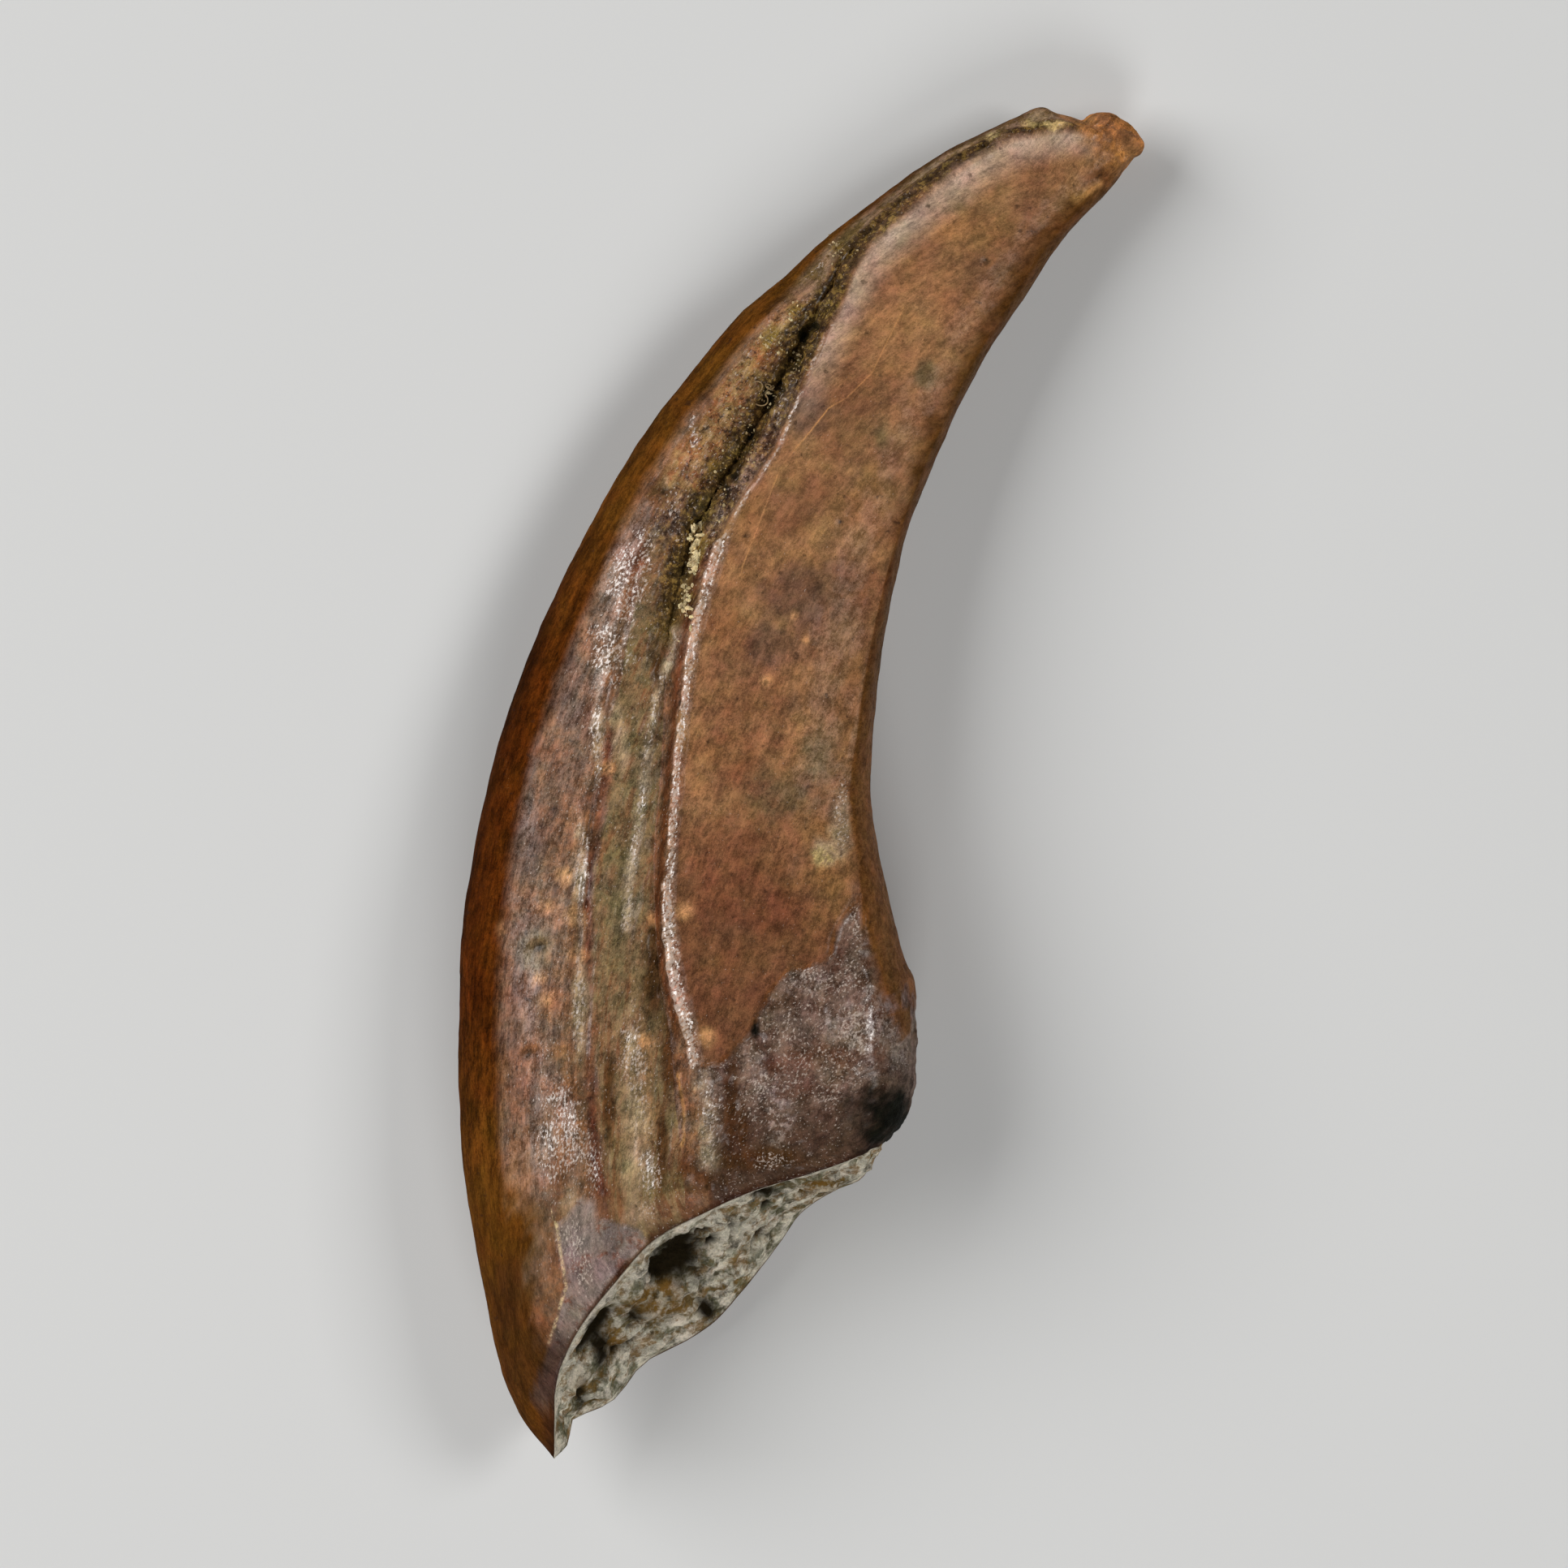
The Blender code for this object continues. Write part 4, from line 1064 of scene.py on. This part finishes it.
# Painted lilac highlight on the swelling.
SWELLING_LILAC_HIGHLIGHT = colour(158, 140, 131)
CHIP_LILAC = colour(136, 119, 110)
CHIP_YELLOW = colour(204, 180, 138)
LAYER_ORANGE = colour(134, 84, 44)
FLAKE_RUST = colour(144, 92, 56)
TIP_ORANGE = colour(194, 130, 74)
TIP_BROWN = colour(148, 102, 66)
TIP_RIM_MAUVE = colour(146, 122, 98)
CRACK_TAN = colour(196, 140, 90)
LINE_GOLD = colour(170, 126, 74)
BLOOM_ORANGE = colour(192, 142, 94)
MATRIX_YELLOW = colour(200, 172, 114)
# Black of the dark spot, and painted shadow in the holes, the pits and between sand crumbs.
BLACK_STAIN_AND_SHADOW = colour(20, 20, 14)
SPECK_DARK = colour(46, 30, 22)
# Painted glint specks.
PAINTED_GLINT_PALE = colour(226, 206, 190)
SPONGE_WHITE = colour(208, 200, 182)
SPONGE_GREY = colour(108, 106, 84)
SPONGE_GOLD = colour(118, 88, 42)
SPONGE_VOID = colour(58, 52, 36)
# Dark of the break's stains, and painted shade in its hollows.
SPONGE_DARK_AND_SHADE = colour(30, 24, 13)

bone_material, bone, shader = new_finish("fossil_bone")
object_place = bone.add("ShaderNodeTexCoord").outputs["Object"]
round_place = bone.scaled(object_place, PER_MM)
grown_place = bone.mask("place", "Vector")
grain_values = {"Place": bone.scaled(grown_place, (0.7, 1.0, 1.0)), "Sparkle": bone.mask("sparkle")}
bone_grain = bone.add("ShaderNodeGroup", grain_values, node_tree=grain_group).outputs

# Slow clouds of stain, blotches and specks inside them, and streaks that follow the bone's growth.
clouds = bone.cloud(round_place, 0.35, 4.0, 0.6)
blotches = bone.cloud(round_place, 1.3, 5.0, 0.75)
speckled = bone.cloud(round_place, 4.0, 3.0, 0.7)
crumbs = bone.cloud(round_place, 5.0, 3.0, 0.7)
pepper = bone.cloud(bone.scaled(round_place, (1.0, 1.0, 0.3)), 3.1, 2.0, 0.5)
streaks = bone.cloud(bone.scaled(grown_place, (0.5, 3.6, 1.0)), 1.0, 5.0, 0.75)
height_along = bone.add("ShaderNodeSeparateXYZ", {0: round_place}).outputs["Y"]

# The plate between crest and corner, and the band with its trough on the other side of the crest.
plate = bone.fade(PLATE_TAN, PLATE_BROWN, clouds, 0.40, 0.60)
plate = bone.fade(plate, LOW_BROWN, height_along, 0.5, -5.0, 0, 0.85)
band = bone.fade(BAND_BROWN, BAND_GREY, blotches, 0.38, 0.62)
trough = bone.fade(TROUGH_TAN, TROUGH_BROWN, streaks, 0.40, 0.60)
lower_trough = bone.between(height_along, -9.0, -5.0, 0.1, 0.6)
trough = bone.paint(trough, OLIVE_GREY, bone.between(blotches, 0.47, 0.60), lower_trough)
band = bone.paint(band, trough, "trough")
skin = bone.paint(band, plate, "plate")

# Tones of the edges, which darken the steep sides as painted shade, of the swelling with its painted lilac
# highlights, and of the groove.
patches = bone.between(blotches, 0.42, 0.58)
from_reddest = bone.math("ABSOLUTE", bone.math("SUBTRACT", height_along, EDGE_REDDEST))
edge_tone_and_shade = bone.fade(EDGE_ORANGE, EDGE_OLIVE, from_reddest, 5.0, 12.0, 0, 0.9)
inner_tone = bone.fade(INNER_FACE_BROWN, INNER_FACE_TAN, height_along, 4.0, 0.0)
grit = bone.mix(patches, GRIT_TAN, FLAKE_RUST)
rim_tone = bone.fade(TIP_RIM_MAUVE, GROOVE_OLIVE, blotches, 0.44, 0.58)
swelling = bone.fade(SWELLING_BROWN, SWELLING_DARK, blotches, 0.42, 0.62)
swelling = bone.fade(swelling, SWELLING_RED, clouds, 0.48, 0.60, 0, 0.5)
swelling = bone.fade(swelling, SWELLING_DARK, height_along, -9.8, -11.8, 0, 0.9)
# Painted lilac highlights on the swelling.
swelling = bone.paint(swelling, SWELLING_LILAC_HIGHLIGHT, "lilac", bone.between(speckled, 0.44, 0.60, 0.05, 0.75))
bench = bone.mix(patches, BENCH_MAUVE, BENCH_BROWN)
groove_side = bone.fade(GROOVE_SIDE, GROOVE_OLIVE, height_along, 6.0, 3.0)
groove_sand = bone.fade(groove_side, GRIT_GOLD, crumbs, 0.50, 0.60)
groove_sand = bone.fade(groove_sand, BLACK_STAIN_AND_SHADOW, crumbs, 0.44, 0.38, 0, 0.65)
chip_tone = bone.fade(CHIP_LILAC, BONE_RED, blotches, 0.50, 0.64, 0, 0.75)
chip_tone = bone.fade(chip_tone, RIM_BROWN, height_along, -17.4, -19.0, 0, 0.85)
tip_tone = bone.mix(patches, TIP_ORANGE, TIP_BROWN)

# Where the peeled layer ends, the chipped patch's broken border, the bead, and the crack, as thin lines.
groove = bone.mask("groove")
# Painted shade: darkest on the groove's floor, in blotches.
groove_floor_shade = bone.share(bone.between(groove, 0.80, 1.0), bone.between(blotches, 0.40, 0.58, 0.1, 0.7))
layer_gap = bone.math("ABSOLUTE", bone.mask("peel_gap"))
layer_edge = bone.share(bone.between(layer_gap, 0.15, 0.02), "layer")
chip_gap = bone.math("ABSOLUTE", bone.mask("chip_gap"))
chip_edge = bone.share(bone.between(chip_gap, 0.08, 0.01), bone.between(chip_gap, 0.0, 0.001))
chip_edge = bone.share(chip_edge, bone.between(speckled, 0.44, 0.58, 0.05, 0.85))
bead_share = bone.share("bead", bone.between(blotches, 0.35, 0.55, 0.6, 1.0))
crack_gap = bone.math("ABSOLUTE", bone.mask("crack"))
crack = bone.share(bone.between(crack_gap, 0.045, 0.0), bone.between(crack_gap, 0.0, 0.001))

# The tones are laid over one another in this order.
for tone, *shares in (
    (VIOLET_BROWN, "violet", 0.65),
    (BONE_RED, "red", 0.45),
    (OLIVE_GREY, "olive", 0.60),
    (GOLD_BROWN, "gold", 0.50),
    (grit, "flake", 0.85),
    (LINE_RED, "red_line", 0.95),
    (BLOOM_ORANGE, "bloom", 0.75),
    (LIGHT_TAN, "light", 0.75),
    # Painted highlight: pale on the worn, rounded crest beside the groove near the tip.
    (ROUNDED_PAINTED_HIGHLIGHT, "rounded", 0.85),
    (inner_tone, "inner_face", 0.95),
    # Painted shade: edge browns where the flank turns steeply away, darkest where it is most sideways.
    (edge_tone_and_shade, "steep"),
    (EDGE_SHADE_BROWN, "outermost", 0.90),
    (rim_tone, "tip_rim", 0.80),
    (swelling, "peeled", 0.92),
    (STRIP_BROWN, "strip", 0.85),
    (RIM_BROWN, "rim_edge", 0.85),
    (WALL_BROWN, "wall"),
    (bench, "bench"),
    (GRIT_TAN, "gritty", bone.between(crumbs, 0.50, 0.60, 0, 0.75)),
    (SPECK_DARK, "gritty", bone.between(crumbs, 0.45, 0.38, 0, 0.75)),
    (GROOVE_OLIVE, bone.between(groove, 0.30, 0.75)),
    (groove_sand, "beside_groove", bone.between(blotches, 0.62, 0.46, 0.60, 0.95)),
    (GROOVE_SHADE_DARK, groove_floor_shade, bone.between(height_along, 4.0, 9.0, 0.3, 1.0)),
    # Painted shadow: black in the deep holes.
    (BLACK_STAIN_AND_SHADOW, "hole", 0.9),
    (GRIT_GOLD, "crust", bone.between(streaks, 0.42, 0.52)),
    # Pale along the trough ridge and the crest's tail, partly a painted highlight.
    (RIDGE_PALE_HIGHLIGHT, "ridge", bone.between(blotches, 0.4, 0.6, 0.3, 0.9)),
    # The bead's pale tan, partly a painted highlight on the lit crest.
    (BEAD_TAN_AND_HIGHLIGHT, bead_share, bone.between(crumbs, 0.42, 0.54, 0.15, 1.0)),
    (LAYER_ORANGE, layer_edge, bone.between(blotches, 0.40, 0.56, 0.15, 0.70)),
    (chip_tone, "chip"),
    (CHIP_YELLOW, chip_edge, bone.between(height_along, -18.9, -18.1)),
    # Black on the dark spot, a real stain, and in the pits, a painted shadow.
    (BLACK_STAIN_AND_SHADOW, bone.math("MAXIMUM", bone.mask("dark"), bone.mask("pit"))),
    (tip_tone, "tip"),
    (LINE_GOLD, "orange_line"),
    (MATRIX_YELLOW, "matrix", bone.between(speckled, 0.40, 0.55, 0.15, 1.0)),
    (CRACK_TAN, crack, bone.between(streaks, 0.42, 0.58, 0.95, 0.40)),
):
    skin = bone.paint(skin, tone, *shares)

# Uneven shades over all of it, weaker on the plate and towards the base, then dark specks and pale glint
# specks painted as highlights.
calm = bone.between(height_along, -11.0, -15.0, 1.0, 0.5)
streak_shade = bone.mix(bone.between(streaks, 0.34, 0.66), (0.62, 0.61, 0.60, 1), (1.40, 1.40, 1.40, 1))
streak_share = bone.share(bone.between(bone.mask("plate"), 0.0, 1.0, 1.0, 0.45), calm)
tint_share = bone.share(
    bone.between(bone.mask("outermost"), 0, 1, 1.0, 0.7),
    bone.between(height_along, 2.0, 10.0, 1.0, 0.8),
    bone.between(bone.mask("plate"), 0, 1, 1.0, 0.85),
    bone.between(calm, 0.5, 1.0, 0.7, 1.0),
)
skin = bone.mix(1.0, skin, bone.tints(round_place, 0.9, 0.30), "MULTIPLY")
skin = bone.mix(streak_share, skin, streak_shade, "MULTIPLY")
skin = bone.mix(tint_share, skin, bone_grain["Tint"], "MULTIPLY")
skin = bone.fade(skin, SPECK_DARK, pepper, 0.66, 0.76, 0, 0.55)
# Painted highlight: pale glint specks where the grain's glint mask is high.
skin = bone.paint(skin, PAINTED_GLINT_PALE, bone_grain["Glint"], 0.6)

# The broken face: white and grey granules, brown sand, dark patches, and hollows darkened the deeper they
# sink, as painted shade.
granules = bone.cloud(round_place, 1.7, 3.0, 0.65)
voids = bone.cloud(round_place, 1.5, 4.0, 0.7)
sponge = bone.fade(SPONGE_GREY, SPONGE_WHITE, granules, 0.38, 0.58)
for tone, *shares in (
    (SPONGE_WHITE, "sponge_pale", 0.8),
    (SPONGE_GOLD, bone.between(blotches, 0.47, 0.63, 0, 0.85)),
    (SPONGE_GOLD, "sponge_gold", bone.between(granules, 0.40, 0.54, 1.0, 0.45)),
    (SPONGE_VOID, bone.between(voids, 0.52, 0.70, 0, 0.85)),
    (SPONGE_DARK_AND_SHADE, "sponge_dark"),
    # Painted shade in the hollows.
    (SPONGE_DARK_AND_SHADE, bone.between(bone.mask("sunken"), 0.12, 0.40)),
    (SPONGE_WHITE, "rim", bone.between(speckled, 0.40, 0.56, 0.30, 0.90)),
):
    sponge = bone.paint(sponge, tone, *shares)
sponge = bone.mix(0.6, sponge, bone_grain["Tint"], "MULTIPLY")

broken = bone.mask("broken")
bone.feed(shader, "Base Color", bone.mix(broken, skin, sponge))
rough = bone.between(bone_grain["Height"], 0.3, 0.7, BONE_ROUGHNESS + 0.12, BONE_ROUGHNESS - 0.12)
dull = bone.math("MAXIMUM", broken, bone.math("MAXIMUM", groove, bone.mask("steep")))
bone.feed(shader, "Roughness", bone.math("ADD", rough, bone.share(dull, 0.35)))
haze = bone.share("haze", bone.between(bone_grain["Height"], 0.38, 0.62, 0.04, 0.56))
sparkle = bone.share(bone.math("MAXIMUM", bone.mask("sparkle"), 0), bone_grain["Glint"])
bone.feed(shader, "Coat Weight", bone.math("ADD", haze, sparkle))
shader.inputs["Specular IOR Level"].default_value = 0.02
shader.inputs["Coat Roughness"].default_value = 0.20
shader.inputs["Coat IOR"].default_value = 1.8
heights = bone.math("ADD", bone_grain["Height"], bone.share(streaks, 0.5))
heights = bone.share(heights, bone.between(broken, 0, 1, 1.0, 0.5))
bump = bone.add("ShaderNodeBump", {"Height": heights, "Strength": 0.8, "Distance": BUMP_HEIGHT})
bone.feed(shader, "Normal", bump.outputs[0])

claw_bone = placed("claw_bone", claw_shape, bone_material)
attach(claw_bone, "root")
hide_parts("claw")


# Grains in the groove
# Golden sand and pale crumbs of the rock that the claw lay in, left in the groove, with a few curled
# fibres.
# Each cluster: x, y, its spread along x and y, how many grains, their size, and how pale they are.
GRAIN_CLUSTERS = (
    (-3.40, 8.30, 0.11, 0.18, 20, 0.125, 0.95), (-3.45, 7.45, 0.11, 0.40, 54, 0.100, 0.80),
    (-3.75, 6.10, 0.08, 0.45, 50, 0.075, 0.75), (-4.30, 5.10, 0.12, 0.45, 30, 0.036, 0.20),
    (-2.70, 9.70, 0.18, 0.60, 45, 0.042, 0.15), (-1.75, 11.3, 0.20, 0.60, 55, 0.046, 0.15),
    (-1.15, 12.9, 0.20, 0.26, 40, 0.050, 0.25), (-0.10, 14.0, 0.14, 0.40, 55, 0.050, 0.20),
    (-0.95, 14.6, 0.22, 0.25, 60, 0.044, 0.30), (-2.40, 11.9, 0.28, 0.70, 35, 0.034, 0.20),
    (-0.10, 15.6, 0.16, 0.22, 40, 0.044, 0.30), (1.30, 17.7, 0.35, 0.22, 40, 0.040, 0.25),
)
# Fibres: x, y, how wide each curl is, and the angles at which it starts and ends.
FIBRES = (
    (-1.20, 12.95, 0.26, 0.3, 3.4), (-1.05, 13.20, 0.20, 2.2, 5.6), (-1.35, 12.70, 0.22, 4.0, 7.0),
    (-0.95, 12.80, 0.32, 1.4, 3.2), (-1.45, 13.10, 0.18, 5.2, 8.6),
)
FIBRE_RADIUS = 0.022
FIBRE_STEPS = 12
FIBRE_SIDES = 6
FIBRE_RISE = 0.12
FIBRE_PALENESS = 0.15
GRAIN_SEED = 7
ROUND_FROM = 0.07
GRAIN_LUMPS = 0.75


def surface_near(x, y):
    """The point of the near flank over x, y, and the way it faces."""
    apart = np.hypot(near_surface[..., 0] - x, near_surface[..., 1] - y)
    spot = np.unravel_index(np.argmin(apart), apart.shape)
    return near_surface[spot], near["outward"][spot]


def add_grain(shape, tone_layer, centre, radius, tone, chance):
    """A stretched, uneven pebble."""
    ball = bmesh.ops.create_icosphere(shape, subdivisions=2 if radius > ROUND_FROM else 1, radius=1.0)
    stretch = chance.uniform(0.45, 1.5, 3)
    seed = Vector(chance.uniform(0, 50, 3))
    for vert in ball["verts"]:
        bump = 1 + GRAIN_LUMPS * noise.noise(vert.co * 1.5 + seed)
        vert.co = Vector(centre) + Vector(vert.co * bump * radius) * Vector(stretch)
        vert[tone_layer] = tone


def add_fibre(shape, tone_layer, centre, outward, reach, start, end):
    """A thin curl that stands up from the groove: a ring of points at each step, closed at both ends."""
    rings = []
    upright = np.array((0, 0, 1))
    for angle in np.linspace(start, end, FIBRE_STEPS):
        sideways = np.array((math.cos(angle), math.sin(angle), 0))
        middle = np.array(centre) + reach * sideways
        arch = math.sin((angle - start) / (end - start) * math.pi)
        middle = middle + np.array(outward) * FIBRE_RISE * arch
        ring = []
        for turn in np.linspace(0, 2 * math.pi, FIBRE_SIDES, endpoint=False):
            spot = middle + FIBRE_RADIUS * (math.cos(turn) * sideways + math.sin(turn) * upright)
            vert = shape.verts.new(spot)
            vert[tone_layer] = FIBRE_PALENESS
            ring.append(vert)
        rings.append(ring)
    for first, second in zip(rings, rings[1:]):
        for k in range(FIBRE_SIDES):
            following = (k + 1) % FIBRE_SIDES
            shape.faces.new((first[k], first[following], second[following], second[k]))
    shape.faces.new(rings[0][::-1])
    shape.faces.new(rings[-1])


def grains_mesh():
    """All grains and fibres as one mesh in metres, with a tone at each vertex."""
    chance = np.random.default_rng(GRAIN_SEED)
    shape = bmesh.new()
    tone_layer = shape.verts.layers.float.new("tone")
    for x, y, wide, high, count, size, paleness in GRAIN_CLUSTERS:
        for _ in range(count):
            spot, outward = surface_near(chance.normal(x, wide), chance.normal(y, high))
            radius = size * chance.uniform(0.35, 1.15)
            tone = np.clip(chance.normal(paleness, 0.3), 0, 1)
            add_grain(shape, tone_layer, spot + outward * radius * 0.3, radius, tone, chance)
    for x, y, reach, start, end in FIBRES:
        spot, outward = surface_near(x, y)
        add_fibre(shape, tone_layer, spot + outward * 0.02, outward, reach, start, end)
    bmesh.ops.translate(shape, verts=shape.verts, vec=Vector(-ORIGIN))
    bmesh.ops.scale(shape, verts=shape.verts, vec=(MM, MM, MM))
    bmesh.ops.recalc_face_normals(shape, faces=shape.faces)
    mesh = bpy.data.meshes.new("groove_grains")
    shape.to_mesh(mesh)
    shape.free()
    return mesh


GRAIN_GOLD = colour(112, 80, 36)
GRAIN_PALE = colour(234, 214, 164)
GRAIN_BUMP_HEIGHT = 0.04 * MM

sand_material, sand, sand_shader = new_finish("groove_sand")
sand_place = sand.scaled(sand.add("ShaderNodeTexCoord").outputs["Object"], PER_MM)
sand_values = {"Place": sand_place, "Fineness": 6.0}
sand_grain = sand.add("ShaderNodeGroup", sand_values, node_tree=grain_group).outputs
sand_colour = sand.mix(sand.mask("tone"), GRAIN_GOLD, GRAIN_PALE)
sand.feed(sand_shader, "Base Color", sand.mix(1.0, sand_colour, sand_grain["Tint"], "MULTIPLY"))
sand.feed(sand_shader, "Roughness", sand.between(sand_grain["Height"], 0.3, 0.7, 0.75, 0.45))
sand_bump = {"Height": sand_grain["Height"], "Strength": 0.6, "Distance": GRAIN_BUMP_HEIGHT}
sand.feed(sand_shader, "Normal", sand.add("ShaderNodeBump", sand_bump).outputs[0])

groove_grains = placed("groove_grains", grains_mesh(), sand_material)
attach(groove_grains, "root")


# Floor
# A plain pale table top under soft light. It is no part of the claw.
FLOOR_SIZE = 2.0
FLOOR_GREY = (0.70, 0.70, 0.69, 1)

floor_shape = bpy.data.meshes.new("floor")
corners = [(x * FLOOR_SIZE / 2, y * FLOOR_SIZE / 2, 0) for x, y in ((-1, -1), (1, -1), (1, 1), (-1, 1))]
floor_shape.from_pydata(corners, [], [(0, 1, 2, 3)])
floor_material, _, floor_shader = new_finish("floor")
floor_shader.inputs["Base Color"].default_value = FLOOR_GREY
floor_shader.inputs["Roughness"].default_value = 0.8
floor = placed("floor", floor_shape, floor_material)


# Light
# Soft boxes as around a copy stand: a wide one to the upper left, weaker ones to the right and below.
# A light's size and place are in metres.
LIGHT_REACH = 0.5


def soft_box(name, towards, size, brightness):
    """A square light at a fixed reach; brightness is what it radiates from each square metre."""
    light = bpy.data.lights.new(name, "AREA")
    light.shape = "SQUARE"
    light.size = size
    light.energy = brightness * math.pi * size**2
    lamp = placed(name, light)
    lamp.location = Vector(towards).normalized() * LIGHT_REACH
    lamp.rotation_euler = Vector(towards).to_track_quat("Z", "Y").to_euler()


soft_box("upper_left", (-0.72, 0.26, 0.64), 0.36, 5.0)
soft_box("right", (0.62, 0.10, 0.78), 0.18, 7.0)
soft_box("low", (0.10, -0.72, 0.68), 0.20, 6.0)
world = bpy.data.worlds.new("studio")
world.use_nodes = True
background = world.node_tree.nodes["Background"]
background.inputs["Color"].default_value = (1, 1, 1, 1)
background.inputs["Strength"].default_value = 0.05
bpy.context.scene.world = world
bpy.context.scene.view_settings.view_transform = "Standard"


# Camera
# Straight above the claw, as the photograph was taken, far enough away to show little perspective.
# Metres, but for the sensor's width, in millimetres.
CAMERA_HEIGHT = 0.60
SENSOR_WIDTH = 36.0
VIEW_WIDTH = 0.05216
VIEW_CENTRE = (-0.00055, -0.00008)
EDGE_HEIGHT = 0.0033

camera_data = bpy.data.cameras.new("camera")
camera_data.sensor_width = SENSOR_WIDTH
camera_data.lens = SENSOR_WIDTH * CAMERA_HEIGHT / VIEW_WIDTH
camera = placed("camera", camera_data)
camera.location = (*VIEW_CENTRE, EDGE_HEIGHT + CAMERA_HEIGHT)
bpy.context.scene.camera = camera
